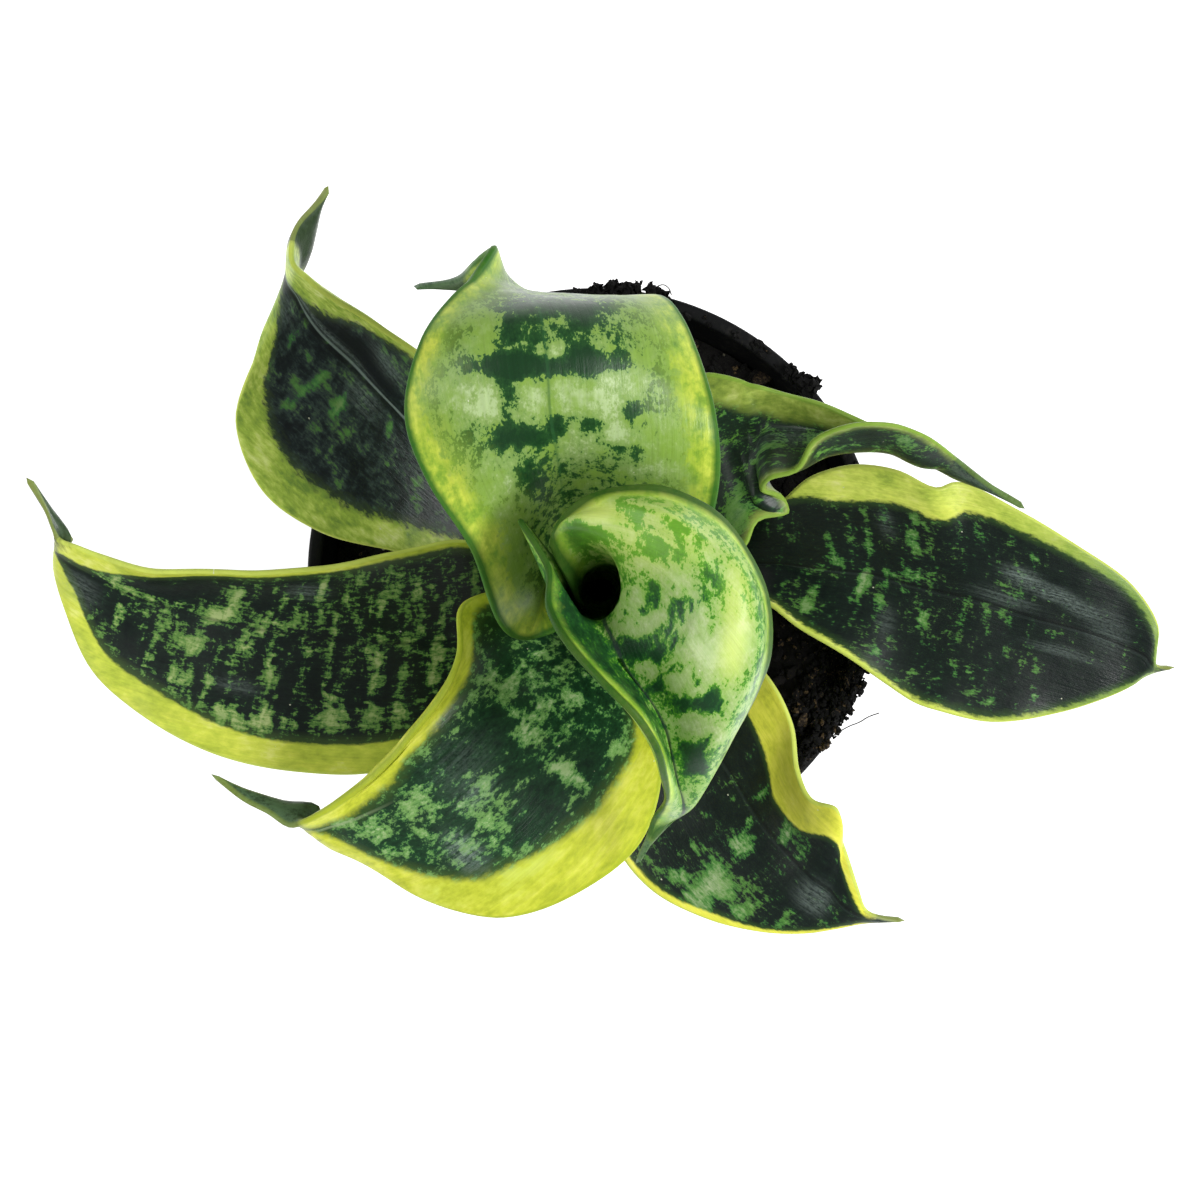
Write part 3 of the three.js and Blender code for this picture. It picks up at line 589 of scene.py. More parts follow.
def leaf_skin(name, look, seed):
    """Waxy cuticle over mottled leaf tissue: satin gloss, fine ribs, jagged pale patches on green."""
    material, tree, shader = blank_finish(name)
    vectors = {key: add(tree, "ShaderNodeAttribute", give="Vector", attribute_name=key) for key in VECTORS}
    numbers = {key: add(tree, "ShaderNodeAttribute", give="Fac", attribute_name=key) for key in NUMBERS}
    zones = add(tree, "ShaderNodeSeparateXYZ", [vectors["zones"]]).node.outputs
    lanes = add(tree, "ShaderNodeSeparateXYZ", [vectors["lanes"]]).node.outputs
    fields = leaf_patterns(tree, look, vectors, seed)
    full_tone, band_tone = leaf_tones(tree, look, fields, numbers["marks"])

    # Frayed line between band and blade, darkened on the blade's side
    fray = look["fray"]
    inside = add(tree, "ShaderNodeMath", [fields["jags"], fray, zones["X"]], operation="MULTIPLY_ADD")
    inside = add(tree, "ShaderNodeMath", [inside, fray / 2], operation="SUBTRACT")
    calm = add(
        tree, "ShaderNodeMapRange", [inside, 0.2, 1.4, look["calm"], 0.0], interpolation_type="SMOOTHSTEP",
    )
    tone = add(tree, "ShaderNodeMath", [full_tone, calm], operation="SUBTRACT")
    blade_colour = add(tree, "ShaderNodeValToRGB", [tone], stops=look["blade_stops"])
    band_colour = add(tree, "ShaderNodeValToRGB", [band_tone], stops=look["band_stops"])
    inner = add(
        tree, "ShaderNodeMapRange", [inside, -look["soft"], look["soft"], 0.0, 1.0],
        interpolation_type="SMOOTHSTEP",
    )

    # Washes over the blade's colour: yellow-green beside the band, and blotches with lime in its dark parts
    wash = add(tree, "ShaderNodeMapRange", [inside, 0.0, look["wash_reach"], look["wash_strength"], 0.0])
    broken = add(tree, "ShaderNodeMapRange", [tone, 0.46, 0.53, 0.0, 1.0])
    blotch = add(tree, "ShaderNodeMapRange", [fields["patches"], 0.48, 0.62, 0.0, look["tint_strength"]])
    blotch = add(tree, "ShaderNodeMath", [blotch, broken], operation="MULTIPLY")
    lime = add(tree, "ShaderNodeMath", [1.0, broken], operation="SUBTRACT")
    lime = add(tree, "ShaderNodeMath", [lime, numbers["gold"]], operation="MULTIPLY")
    lime = add(tree, "ShaderNodeMath", [lime, look["lime"]], operation="MULTIPLY")
    blotch = add(tree, "ShaderNodeMath", [blotch, lime], operation="MAXIMUM", use_clamp=True)
    for share, shade in ((wash, look["wash"]), (blotch, look["tint"])):
        settings = {0: share, 6: blade_colour, 7: linear(shade)}
        blade_colour = add(tree, "ShaderNodeMix", settings, give=2, data_type="RGBA")

    # Bright spots, painted grey sheen, and bands that turn green towards the tip
    on_blade = add(tree, "ShaderNodeMath", [broken, look["gold_inside"]], operation="MULTIPLY")
    in_band = add(tree, "ShaderNodeMapRange", [band_tone, 0.4, 0.62, 0.2, 1.0])
    where = add(tree, "ShaderNodeMapRange", {0: inside, 1: -0.5, 2: 0.5, 3: in_band, 4: on_blade})
    gold = add(tree, "ShaderNodeMath", [numbers["gold"], where], operation="MULTIPLY", use_clamp=True)
    # Painted grey sheen: streaky grey laid over the blade where its marks lie
    sheen_share = add(tree, "ShaderNodeMath", [fields["flecks"], fields["ribs"]], operation="ADD")
    sheen_share = add(tree, "ShaderNodeMapRange", [sheen_share, 0.78, 1.2, 0.1, 1.3])
    sheen_share = add(tree, "ShaderNodeMath", [sheen_share, numbers["painted_sheen"]], operation="MULTIPLY", use_clamp=True)
    end = look["green_end"]
    green_end = add(tree, "ShaderNodeMapRange", [zones["Z"], end + 22, end, 0.0, 0.85])

    # Bare spike at the tip, rim along the margins and greyer underside
    spike_way = add(tree, "ShaderNodeMath", [fields["jags"], 5.0, zones["Z"]], operation="MULTIPLY_ADD")
    spike_end = look["spike_length"] + 2.5
    spike = add(tree, "ShaderNodeMapRange", [spike_way, spike_end - 1, spike_end + 1.5, 1.0, 0.0])
    mottle = add(tree, "ShaderNodeMath", [fields["flecks"], 0.4, full_tone], operation="MULTIPLY_ADD")
    spike_colour = add(tree, "ShaderNodeValToRGB", [mottle], stops=look["spike_stops"])
    edge = add(tree, "ShaderNodeMapRange", [zones["Y"], 0.45, 1.0, 0.9, 0.0])
    bare = add(tree, "ShaderNodeMapRange", [spike, 0.0, 1.0, 1.0, 0.4])
    edge = add(tree, "ShaderNodeMath", [edge, bare], operation="MULTIPLY")
    under = add(tree, "ShaderNodeMapRange", [numbers["upper"], 0.0, 1.0, look["under"], 0.0])

    way = add(tree, "ShaderNodeMath", [fields["ribs"], 0.8, lanes["X"]], operation="MULTIPLY_ADD")
    layers = [
        (green_end, linear(look["end_colour"])),
        (inner, blade_colour),
        (gold, linear(look["gold"])),
        (sheen_share, linear("#8C9C94")),
        *midrib_lines(tree, look, way, zones["Z"], inner),
        (spike, spike_colour),
        (edge, linear(look["rim"])),
        (under, linear("#6E8C58")),
        (dried_specks(tree, vectors["lanes"]), linear("#D9DCC0")),
    ]
    colour = band_colour
    for share, shade in layers:
        colour = add(tree, "ShaderNodeMix", {0: share, 6: colour, 7: shade}, give=2, data_type="RGBA")
    streak = add(tree, "ShaderNodeMapRange", [fields["ribs"], 0.25, 0.75, 0.9, 1.1])
    colour = add(tree, "ShaderNodeHueSaturation", {"Value": streak, "Color": colour})

    # Satin gloss that wavers with the patches, dull along the rim, over ribs and specks of fine relief
    gloss = add(tree, "ShaderNodeMapRange", [fields["patches"], 0.3, 0.7, 0.28, 0.42])
    shine = add(tree, "ShaderNodeMapRange", [edge, 0.0, 0.9, 0.36, 0.08])
    relief = add(tree, "ShaderNodeMath", [fields["ribs"], 0.06], operation="MULTIPLY")
    relief = add(tree, "ShaderNodeMath", [fields["jags"], 0.06, relief], operation="MULTIPLY_ADD")
    relief = add(tree, "ShaderNodeMath", [fields["flecks"], 0.03, relief], operation="MULTIPLY_ADD")
    bump = add(tree, "ShaderNodeBump", {"Height": relief, "Distance": MM, "Strength": 0.8})
    fill(tree, shader, {
        "Base Color": colour, "Roughness": gloss, "Specular IOR Level": shine, "Normal": bump, "IOR": 1.45,
        "Subsurface Weight": 0.06, "Subsurface Radius": (0.8, 1.2, 0.3), "Subsurface Scale": MM,
    })
    return material


# Patterns of the skins as (name, coordinates, (across, along) in mm, detail)
BROAD = [
    ("jags", "grain", (1.6, 2.2), 6),
    ("flecks", "grain", (0.4, 0.7), 2),
    ("ribs", "lanes", (0.55, 22), 2),
    ("patches", "grain", (5, 6.5), 3),
]
STREAKED = [
    ("jags", "lanes", (0.8, 1.9), 4),
    ("flecks", "lanes", (0.3, 0.8), 2),
    ("ribs", "lanes", (0.5, 22), 2),
    ("patches", "lanes", (6, 8), 3),
    ("bars", "lanes", (9, 2.1), 3),
]

# Looks of the leaves' skins. A tone is its base plus the patterns by the weights in mix, or band_mix in the
# bands, and the stops give its colours. Lengths are in mm: fray and soft for the band's edge, wash_reach in
# from it, rim_widths (left, right), spike_length, and green_end, where the bands turn to end_colour near the
# tip. Calm darkens the blade beside the band, and tint lies on the pale patches. Gold_inside and lime say how
# much the bright spots show on the blade's pale and dark parts. A midrib line is (place, reach, shade,
# strength, length from the tip), and under greys the underside
YOUNG = dict(
    patterns=BROAD, mix={"patches": 0.5, "jags": 1.25, "flecks": 0.55}, base=0.5, calm=0.0,
    fray=8, soft=1.5,
    blade_stops=[
        (0.1, "#173D20"), (0.3, "#235626"), (0.38, "#3A7624"), (0.485, "#579628"), (0.5, "#8AB058"),
        (0.75, "#A2BA78"), (1.0, "#B8CA94"),
    ],
    band_mix={"patches": 1.2, "jags": 1.0},
    band_stops=[(0.2, "#6FA62C"), (0.5, "#A8C941"), (0.8, "#D3E26A")],
    wash="#A0C84A", wash_reach=3, wash_strength=0.5, tint="#6FA82C", tint_strength=0.35, lime=0.9,
    gold="#C8DC5C", gold_inside=0.45, rim="#1B4A1C", rim_widths=(4.8, 1.7), green_end=-30,
    end_colour="#6FA436", midrib=[(-1.0, 0.8, "#2A3A36", 0.85, 95)],
    spike_length=6, spike_stops=[(0.35, "#2C4A30"), (0.75, "#6E8C5C")], under=0.0,
)
BACK = dict(
    YOUNG, mix={"patches": 0.5, "jags": 1.3, "flecks": 0.6}, fray=11, soft=1.4,
    blade_stops=[
        (0.1, "#16391C"), (0.38, "#224A22"), (0.465, "#305C2A"), (0.49, "#527A36"), (0.505, "#74964A"),
        (0.75, "#88A45C"), (0.95, "#AAC088"),
    ],
    band_stops=[(0.15, "#5C862A"), (0.38, "#84A634"), (0.58, "#A8BE3E"), (0.85, "#D0DA56")],
    wash="#86A63C", wash_reach=8, wash_strength=0.65, tint="#7A9C38", tint_strength=0.75, gold="#D0D650",
    rim="#2A6224", rim_widths=(1.8, 1.8), midrib=[(0.0, 0.45, "#2A5A30", 0.5, 110)], spike_length=13,
    spike_stops=[(0.35, "#1E2C28"), (0.75, "#566B50")], under=0.15,
)
FRONT = dict(
    YOUNG, mix={"patches": 0.6, "jags": 1.55, "flecks": 0.5}, base=0.42, fray=3.5, soft=1.1,
    blade_stops=[
        (0.1, "#0F2818"), (0.46, "#1A3E22"), (0.53, "#265030"), (0.555, "#4A7E3C"), (0.68, "#70A056"),
        (0.85, "#A6BE88"),
    ],
    band_stops=[(0.15, "#A4B22A"), (0.5, "#CCD43C"), (0.85, "#E6E862")],
    wash="#66842F", wash_strength=0.35, tint="#7FA85A", tint_strength=0.4, lime=0.0, gold_inside=0.0,
    rim="#A8B634", rim_widths=(0.8, 0.8), midrib=[(-0.4, 0.4, "#9CB084", 0.6, 42)], spike_length=21,
    spike_stops=[(0.35, "#18261F"), (0.75, "#4E6A4C")], under=0.2,
)
OLIVE = dict(
    YOUNG, mix={"patches": 0.6, "jags": 1.2, "flecks": 0.8}, base=0.42, fray=3.5, soft=1.6,
    blade_stops=[
        (0.1, "#18241D"), (0.47, "#1E3225"), (0.54, "#2C4A2E"), (0.57, "#4A7F3A"), (0.9, "#769A5A"),
    ],
    band_stops=[(0.1, "#5A7234"), (0.4, "#84993F"), (0.6, "#A3B552"), (0.85, "#C6D07A")],
    wash="#4A6636", wash_reach=2, wash_strength=0.3, lime=0.0, rim="#7C9C3C", rim_widths=(0.7, 0.7),
    midrib=[(0.0, 0.4, "#3B5238", 0.4, 90)],
    spike_length=17, spike_stops=[(0.35, "#1A2622"), (0.75, "#40573F")],
)
OLD = dict(
    YOUNG, patterns=STREAKED, mix={"bars": 0.8, "jags": 1.0, "patches": 0.4, "flecks": 0.35},
    base=0.38, calm=0.1, fray=1.2, soft=0.35,
    blade_stops=[
        (0.1, "#0F1816"), (0.46, "#15221B"), (0.53, "#1F3825"), (0.56, "#33622C"), (0.66, "#467E36"),
        (0.8, "#7A9862"), (0.95, "#98AC80"),
    ],
    band_mix={"patches": 1.3, "jags": 0.7},
    band_stops=[(0.1, "#B6BC3C"), (0.35, "#D6D846"), (0.6, "#E6E456"), (0.9, "#F0F08C")],
    wash="#49702C", wash_reach=1.4, wash_strength=0.4, tint="#5F8A3C", tint_strength=0.4, lime=0.0,
    gold="#E0E45A", gold_inside=0.0, rim="#C2D060", rim_widths=(0.45, 0.45),
    midrib=[(-0.6, 0.45, "#0A100E", 0.7, 200), (0.1, 0.35, "#4A5752", 0.12, 200)],
    spike_length=7, spike_stops=[(0.35, "#1A2321"), (0.75, "#3E4C42")], under=0.2,
)
LEFT = dict(
    OLD, mix={"bars": 1.1, "jags": 1.05, "patches": 0.4, "flecks": 0.3}, base=0.425,
    blade_stops=[
        (0.1, "#0F1815"), (0.47, "#15231B"), (0.53, "#203C27"), (0.55, "#446C2F"), (0.63, "#5C8640"),
        (0.73, "#849E58"), (0.88, "#A8B87A"),
    ],
    band_stops=[(0.1, "#94A636"), (0.35, "#B6C640"), (0.6, "#CED84C"), (0.9, "#E4E880")],
    wash="#5C7C34", wash_reach=2.2, midrib=[(-0.4, 0.5, "#101A15", 0.5, 200)], spike_length=15,
)
RIGHT = dict(
    OLD, fray=2.4, soft=0.5, wash_reach=1.8, green_end=16, end_colour="#5F8438", spike_length=4,
    band_stops=[(0.1, "#90A840"), (0.35, "#BED052"), (0.6, "#DCE868"), (0.9, "#ECF098")],
)
BACK_OLD = dict(
    OLD, mix={"bars": 0.5, "jags": 0.7, "patches": 0.9, "flecks": 0.25}, base=0.37, fray=5.0, soft=0.8,
    blade_stops=[
        (0.2, "#101819"), (0.36, "#1B2726"), (0.45, "#2D3C38"), (0.54, "#384741"), (0.57, "#365E38"),
        (0.7, "#4A8442"), (0.95, "#7A9C5E"),
    ],
    band_stops=[(0.25, "#72923A"), (0.45, "#A0BC46"), (0.6, "#C2D662"), (0.8, "#E0EA98")],
    wash="#5A7440", wash_reach=2.5,
    midrib=[(-1.0, 0.6, "#0C1311", 0.7, 200), (-0.2, 0.4, "#8B9C95", 0.6, 200)], spike_length=19,
)


def width_at(band, along):
    """Width in mm of a yellow band at lengths along the leaf."""
    return np.interp(along, *zip(*band))


def painted(marks, places):
    """Sum of soft-edged patches (x, y, half width, half length, strength) at places in mm."""
    x, y = places[:, 0], places[:, 1]
    total = np.zeros(len(x))
    for centre_x, centre_y, wide, long, strength in marks:
        reach = ((x - centre_x) / wide) ** 2 + ((y - centre_y) / long) ** 2
        total += strength * np.exp(-reach ** 1.5)
    return total


def leaf(number, name, sections, slot, look, coordinates, left_band, right_band):
    """Builds one leaf's blade with a slight ripple, and gives every vertex what its skin reads."""
    vertices, faces, values = blade(sections)
    free = smoothstep(values["along"], RIPPLE_START, RIPPLE_FULL)
    shift = Vector((number, 0, 0))
    ripple = np.array([noise.fractal(Vector(v) / RIPPLE_PITCH + shift, 1.0, 2.0, 2) for v in vertices])
    vertices = vertices + values["out"] * (RIPPLE_HEIGHT * ripple * free)[:, None]
    mesh = smooth_mesh(name + "_blade", vertices, faces, leaf_skin(name + "_cuticle", look, number))
    lanes = np.stack([values["across"], values["along"], 0 * values["along"]], axis=1)
    grain = vertices if coordinates == "plan" else lanes
    level = 1.0 if coordinates == "lanes" else np.clip(1.8 * np.abs(values["out"][:, 2]) - 0.1, 0, 1)
    zone = np.minimum(
        values["from_left"] - width_at(left_band, values["along"]),
        values["from_right"] - width_at(right_band, values["along"]),
    )
    left_rim, right_rim = look["rim_widths"]
    margin = np.minimum(values["from_left"] / left_rim, values["from_right"] / right_rim)
    # Broad painted shade, added to the marks
    painted_shade = painted(PAINTED_SHADE.get(name, ()), lanes)
    store(mesh, "lanes", lanes)
    store(mesh, "grain", grain)
    store(mesh, "zones", np.stack([zone, margin, values["tip_way"]], axis=1))
    store(mesh, "marks", 0.8 * level * painted(MARKS.get(name, ()), grain) + painted_shade)
    # Marks of painted grey sheen
    store(mesh, "painted_sheen", painted(PAINTED_SHEEN.get(name, ()), lanes))
    store(mesh, "gold", painted(GOLD.get(name, ()), grain))
    store(mesh, "upper", values["upper"])
    piece(name + "_blade", mesh, slot, [name])


# Pale (positive) and dark patches that each leaf shows, as (x, y, half width, half length, strength) in mm,
# in the skin's own coordinates: the plan for the two youngest leaves, across and along the others
MARKS = {
    "leaf_centre": [
        (-0.5, 10, 3.2, 1.6, 0.2), (-2.5, 6, 3, 1.8, -0.5), (12, 6, 10, 5, -0.13), (10, -14, 4, 4, -0.1),
        (-0.5, 9.7, 3, 1.8, 0.8), (2, 8, 2.1, 1.4, 0.5), (5.5, 5.5, 1.8, 1.8, 0.5),
        (-4, 7.5, 2.1, 2.1, -0.1), (6, 10, 2.1, 1.6, -0.15), (13.5, 6.5, 1.4, 1.4, -0.2),
        (11, 3, 3.4, 1.4, -0.2), (18, -0.5, 3, 1.4, -0.2), (19.5, -2, 1.4, 1.1, -0.2),
        (9, 10, 1.4, 1.2, 0.35), (9, 7.5, 1.4, 1.2, 0.35), (12, 8.5, 1.1, 0.9, 0.35),
        (11.5, 5, 1.4, 1.1, 0.35), (15, 4, 1.6, 1.8, 0.35), (16.5, 7, 2.1, 1.2, 0.35),
        (19, 3.5, 2.1, 1.4, 0.35), (18.5, 1, 1.8, 0.9, 0.35), (8, 1, 2.1, 1.4, 0.35),
        (12, -0.5, 3, 1.6, 0.35), (14, -3, 2.3, 1.6, 0.35), (7, -4.5, 1.9, 1.4, 0.35),
        (11, -7, 1.9, 1.9, 0.35), (6, -9, 2.8, 1.4, 0.35), (9.5, -8.5, 1.9, 1.4, 0.35),
        (21.5, -0.5, 1.4, 1.4, 0.35), (22, -4, 1.4, 1.8, 0.35), (16.5, -8, 2.8, 1.8, 0.4),
        (22.5, -9, 2.1, 2.3, 0.6), (9.5, -3.5, 0.9, 2.1, -0.5), (9, -6, 1.4, 0.9, -0.5),
        (14.5, -5.5, 2.3, 0.7, -0.5), (13, -6.5, 1.6, 0.7, -0.5), (11.5, -8.5, 1.4, 1.2, -0.5),
        (14.5, -4, 1.2, 0.7, -0.45), (18, -9.5, 1.1, 0.7, -0.45), (-2.5, 4.5, 1.7, 1.2, -0.45),
        (16, -12.5, 4.1, 2.3, 0.4), (19.5, -11.5, 3.5, 2.8, 0.3), (23, -12.5, 2.3, 3.7, 0.5),
        (9, -16, 1.9, 1.4, 0.4), (13.5, -17.5, 1.9, 1.4, 0.4), (16.5, -19.5, 1.4, 1.2, 0.4),
        (18.5, -15, 2.8, 2.8, 0.4), (15.5, -24.5, 2.8, 1.6, 0.4), (20, -25.5, 1.4, 1.9, 0.5),
        (21.5, -19.5, 1.9, 1.9, 0.4), (7.5, -22.5, 1.4, 1.4, 0.4), (6, -12.5, 2.8, 1.9, -0.6),
        (10, -13.5, 1.9, 0.9, -0.6), (15.5, -21, 3.3, 0.9, -0.7), (19, -20.5, 1.9, 1.9, -0.7),
        (13, -11, 1.4, 0.7, -0.6), (10, -18.5, 1.4, 0.9, -0.5), (6.5, -20.5, 0.9, 0.7, -0.5),
        (16, -29, 1.9, 1.4, -0.7), (16.5, -31.5, 1.9, 1.4, -0.7), (14, -28, 0.9, 0.9, -0.5),
        (18.5, -27, 0.9, 0.5, -0.5), (13, -15.5, 0.9, 0.3, -0.5), (16, -16, 0.9, 0.3, -0.5),
    ],
    "leaf_back": [
        (-17, 39.5, 2, 1.5, 0.35), (-17.5, 36.5, 2.5, 1.8, 0.35), (-6, 35, 1.7, 1.7, 0.6),
        (-12, 35.5, 1.3, 0.8, 0.35), (-9, 35, 0.7, 1.2, 0.35), (-6, 39, 2.5, 1.3, 0.25),
        (-19.5, 27.5, 5, 3.2, 0.5), (-16.5, 26.5, 2, 2.7, 0.4), (3.2, 24.5, 1.8, 2.6, 0.4),
        (-10, 27, 2.4, 3.2, 0.5), (-4.5, 28, 3, 3.2, 0.5), (0.5, 27.5, 4, 2.7, 0.5),
        (3, 30.5, 1.7, 1.5, 0.4), (6.5, 30, 3, 2, 0.35), (0.5, 36.5, 1.3, 0.8, 0.25),
        (4, 22, 2.7, 1.7, 0.5), (-2.5, 20, 2.7, 2.7, 0.4), (-10.5, 19, 1.4, 1.2, 0.3),
        (10.5, 21, 3.7, 3.1, 0.25), (9.5, 16.5, 6.9, 1.7, 0.35), (-0.5, 15, 3.1, 1.4, 0.3),
        (-15.5, 14.5, 3.1, 4.1, 0.25), (-13, 5, 3.1, 7, 0.2), (-9.5, 32.5, 8.7, 1.5, -0.55),
        (-1, 33, 2.7, 1.7, -0.6), (-14, 33, 3.7, 1.7, -0.5), (-2.5, 34.5, 2, 1.7, -0.4),
        (-13.5, 38.5, 1.2, 2.3, -0.4), (-2, 40.5, 2, 2, -0.35), (-14, 21.5, 2.4, 1.7, -0.6),
        (-10, 21.5, 2.7, 1.7, -0.5), (-6, 23.5, 1.5, 1.7, -0.5), (6, 25.5, 1.2, 1.7, -0.5),
        (7, 19, 1.4, 1.4, -0.25), (-9.5, 15.5, 2.4, 2.7, -0.35), (-0.5, 23.5, 2, 1.4, -0.25),
        (-14, 27.5, 0.7, 3.4, -0.4), (4, 33.5, 1.3, 2, -0.35), (-12.5, 31, 2, 1.3, -0.45),
        # The wide dark mark at (-7, 43.5) is painted shade on the fold that turns down to the back
        (1.5, 15.5, 5.2, 0.7, -0.2), (-7, 43.5, 10, 2.2, -0.4),
    ],
    "leaf_front_left": [
        (-0.5, 102.5, 1.4, 3.3, 0.3), (-3.5, 98.5, 3.3, 3.3, 0.22), (-7.5, 98.5, 1.7, 1.7, 0.2),
        (-10, 94.5, 1.7, 2.2, 0.2), (-9.5, 91, 3.3, 1.1, 0.2), (-2.5, 89, 1.1, 5, 0.3),
        # The faint pale mark at (-14.5, 88) is painted sheen
        (-1, 82.5, 1.1, 2.8, 0.25), (-14.5, 88, 4.4, 2.2, 0.1), (-5.5, 86.5, 1.7, 2.2, 0.2),
        (-8, 82, 2.2, 3.3, 0.2), (-7.5, 78, 1.1, 1.7, 0.3), (-14.5, 83, 3.3, 1.1, 0.2),
        (-18.5, 83.5, 1.7, 1.1, 0.2), (-19.5, 71.5, 3.9, 1.4, 0.35), (-14, 71, 3.3, 1.4, 0.35),
        (-12.5, 65.5, 2.8, 2.8, 0.3), (-7.5, 69, 2.2, 1.9, 0.45), (-5, 66.5, 2.8, 1.9, 0.35),
        (-6.5, 62, 1.9, 1.7, 0.45), (-3, 59, 1.7, 2.8, 0.25), (0, 56.5, 2.2, 2.8, 0.25),
        (0.5, 63, 1.7, 3.3, 0.3), (5.5, 62, 2.2, 2.2, 0.3), (9, 60.5, 2.2, 1.1, 0.25),
        (-11, 59, 3.3, 2.2, 0.3), (-5, 55.5, 3.3, 2.2, 0.25), (-1, 52, 2.2, 2.2, 0.3),
        (-18.5, 59, 2.8, 1.1, 0.2), (-23, 62.5, 1.7, 3.3, 0.25), (-13, 52.5, 4.4, 2.2, 0.2),
        (-14.5, 75.5, 8.3, 2.2, -0.2), (-0.5, 71, 4.4, 3.3, -0.25), (2, 96.5, 2.2, 3.3, -0.25),
        (-17.5, 67.5, 3.3, 2.8, -0.2), (-3.5, 54.5, 3.3, 1.7, -0.2), (-0.5, 77.5, 4.4, 3.3, -0.2),
    ],
    "leaf_back_right": [
        (13.5, 60, 2.8, 2.8, 0.45), (9, 61, 1.7, 1.1, 0.3), (4, 68.5, 3.3, 2.2, 0.25),
        (13.5, 93.5, 3.3, 1.4, 0.45), (11, 88, 1.7, 1.4, 0.3), (13.5, 80.5, 1.1, 2.2, 0.3),
        (5.5, 86, 4.4, 0.8, 0.3), (-0.5, 83, 1.1, 3.3, 0.2), (16.5, 88, 1.7, 3.3, -0.3),
        (-4, 90.5, 1.1, 3.3, -0.2), (4.5, 77, 3.3, 2.2, 0.3), (16.5, 79.5, 3.3, 1.4, -0.2),
    ],
    "leaf_left": [
        (-12, 88, 2.2, 1.7, 0.45), (-6, 87.5, 1.7, 1.7, 0.45), (-11.5, 82.5, 1.1, 1.1, 0.35),
        (-6, 82.5, 1.7, 0.8, 0.35), (-4.5, 85.5, 0.6, 3.3, 0.3), (1, 84, 2.2, 2.2, 0.38),
        (4, 82.5, 3.3, 1.4, 0.25), (7.5, 83, 2.8, 1.1, 0.35), (0.5, 85.5, 1.7, 1.1, 0.4),
        (-6, 101.5, 1.7, 0.8, 0.35), (-3.5, 101.5, 0.8, 1.1, 0.3), (-11, 93.5, 1.7, 1.1, 0.3),
        (-12, 96.5, 0.8, 0.8, 0.3), (-6.5, 94.5, 0.8, 0.8, 0.3), (3.5, 98, 1.7, 1.1, 0.25),
        (2.5, 106, 2.8, 3.3, 0.35), (0.5, 100, 1.4, 3.3, 0.3), (1, 92.5, 1.1, 4.4, 0.2),
        (-15.5, 88, 0.8, 2.8, 0.35), (-17, 79, 1.9, 2.2, 0.5), (-16.5, 72.5, 2.2, 1.7, 0.5),
        (-18, 85, 0.8, 2.2, 0.3), (-18.5, 75, 1.1, 2.2, 0.35), (-4.5, 77.5, 1.1, 2.2, 0.3),
        (-0.5, 76.5, 1.1, 0.8, 0.35), (1.5, 76, 0.6, 1.7, 0.3), (7.5, 73.5, 2.2, 0.7, 0.4),
        (-9, 72, 1.7, 0.8, 0.4), (-6, 72, 1.1, 0.8, 0.3), (1.5, 73, 0.6, 1.1, 0.3),
        (-16.5, 68, 1.7, 1.7, 0.2), (-8, 67.5, 1.1, 1.1, 0.35), (-10.5, 67.5, 0.8, 0.8, 0.3),
        (8.5, 68, 2.2, 0.7, 0.4), (12, 67.5, 2.2, 0.8, 0.4), (4.5, 68.5, 0.8, 0.8, 0.35),
        (-3, 67, 1.4, 0.8, 0.35), (4, 63.5, 1.1, 1.1, 0.45), (8.5, 62.5, 1.4, 0.8, 0.35),
        (1.5, 63.5, 0.8, 1.4, 0.4), (-15.5, 61.5, 2.2, 2.8, 0.4), (-12.5, 60, 3.3, 1.4, 0.4),
        (7, 59, 1.1, 0.6, 0.35), (-11.5, 62.5, 1.1, 1.1, 0.3), (-6.5, 60.5, 1.1, 1.1, 0.2),
        (-2, 61, 1.1, 2.2, 0.2), (14, 60, 1.7, 2.2, 0.3), (-14, 54, 2.5, 1.9, 0.45),
        (-8, 55, 2.8, 1.1, 0.4), (-3, 55.5, 1.7, 1.4, 0.35), (1, 55, 2.2, 1.7, 0.3),
        (7.5, 55.5, 2.8, 1.1, 0.4), (11, 53, 2.2, 1.1, 0.35), (-13.5, 49.5, 1.7, 1.4, 0.35),
        (-6, 50, 1.4, 1.1, 0.35), (-0.5, 50.5, 2.2, 1.1, 0.35), (12, 48.5, 3.3, 1.1, 0.35),
        (14, 51.5, 2.2, 1.7, 0.25), (-2.5, 45, 5, 1.4, 0.4), (5, 43.5, 2.8, 1.1, 0.3),
        (-7.5, 44.5, 1.7, 1.1, 0.3), (-3.5, 110, 3.9, 3.3, -0.3), (4, 96, 2.8, 3.3, -0.25),
        (6, 90, 3.3, 3.3, -0.25), (6.5, 77.5, 3.3, 2.0, -0.25), (-8.5, 98.5, 3.3, 3.3, -0.2),
    ],
    "leaf_front_right": [
        (-4.5, 69, 3.3, 1.4, 0.35), (-3, 64.5, 2.8, 1.9, 0.4), (5, 60.5, 2.8, 2.2, 0.45),
        (8, 73.5, 1.1, 0.8, 0.3), (10.5, 74, 1.4, 0.8, 0.3), (2.5, 78.5, 0.8, 0.6, 0.25),
        (-1, 73, 1.1, 0.6, 0.2), (14.5, 68, 1.7, 1.4, 0.45), (13.5, 63, 3.3, 2.5, 0.6),
        (18.5, 64, 2.2, 2.2, 0.5), (11.5, 60, 1.7, 1.7, 0.35), (18, 59.5, 1.9, 1.7, 0.35),
        (-3.5, 55, 2.2, 1.1, 0.4), (1.5, 57.5, 0.8, 0.8, 0.35), (-5, 50, 1.1, 1.7, 0.25),
        (-6, 48, 1.1, 1.1, 0.2), (12.5, 56, 0.6, 1.1, 0.35),
    ],
    "leaf_back_left": [
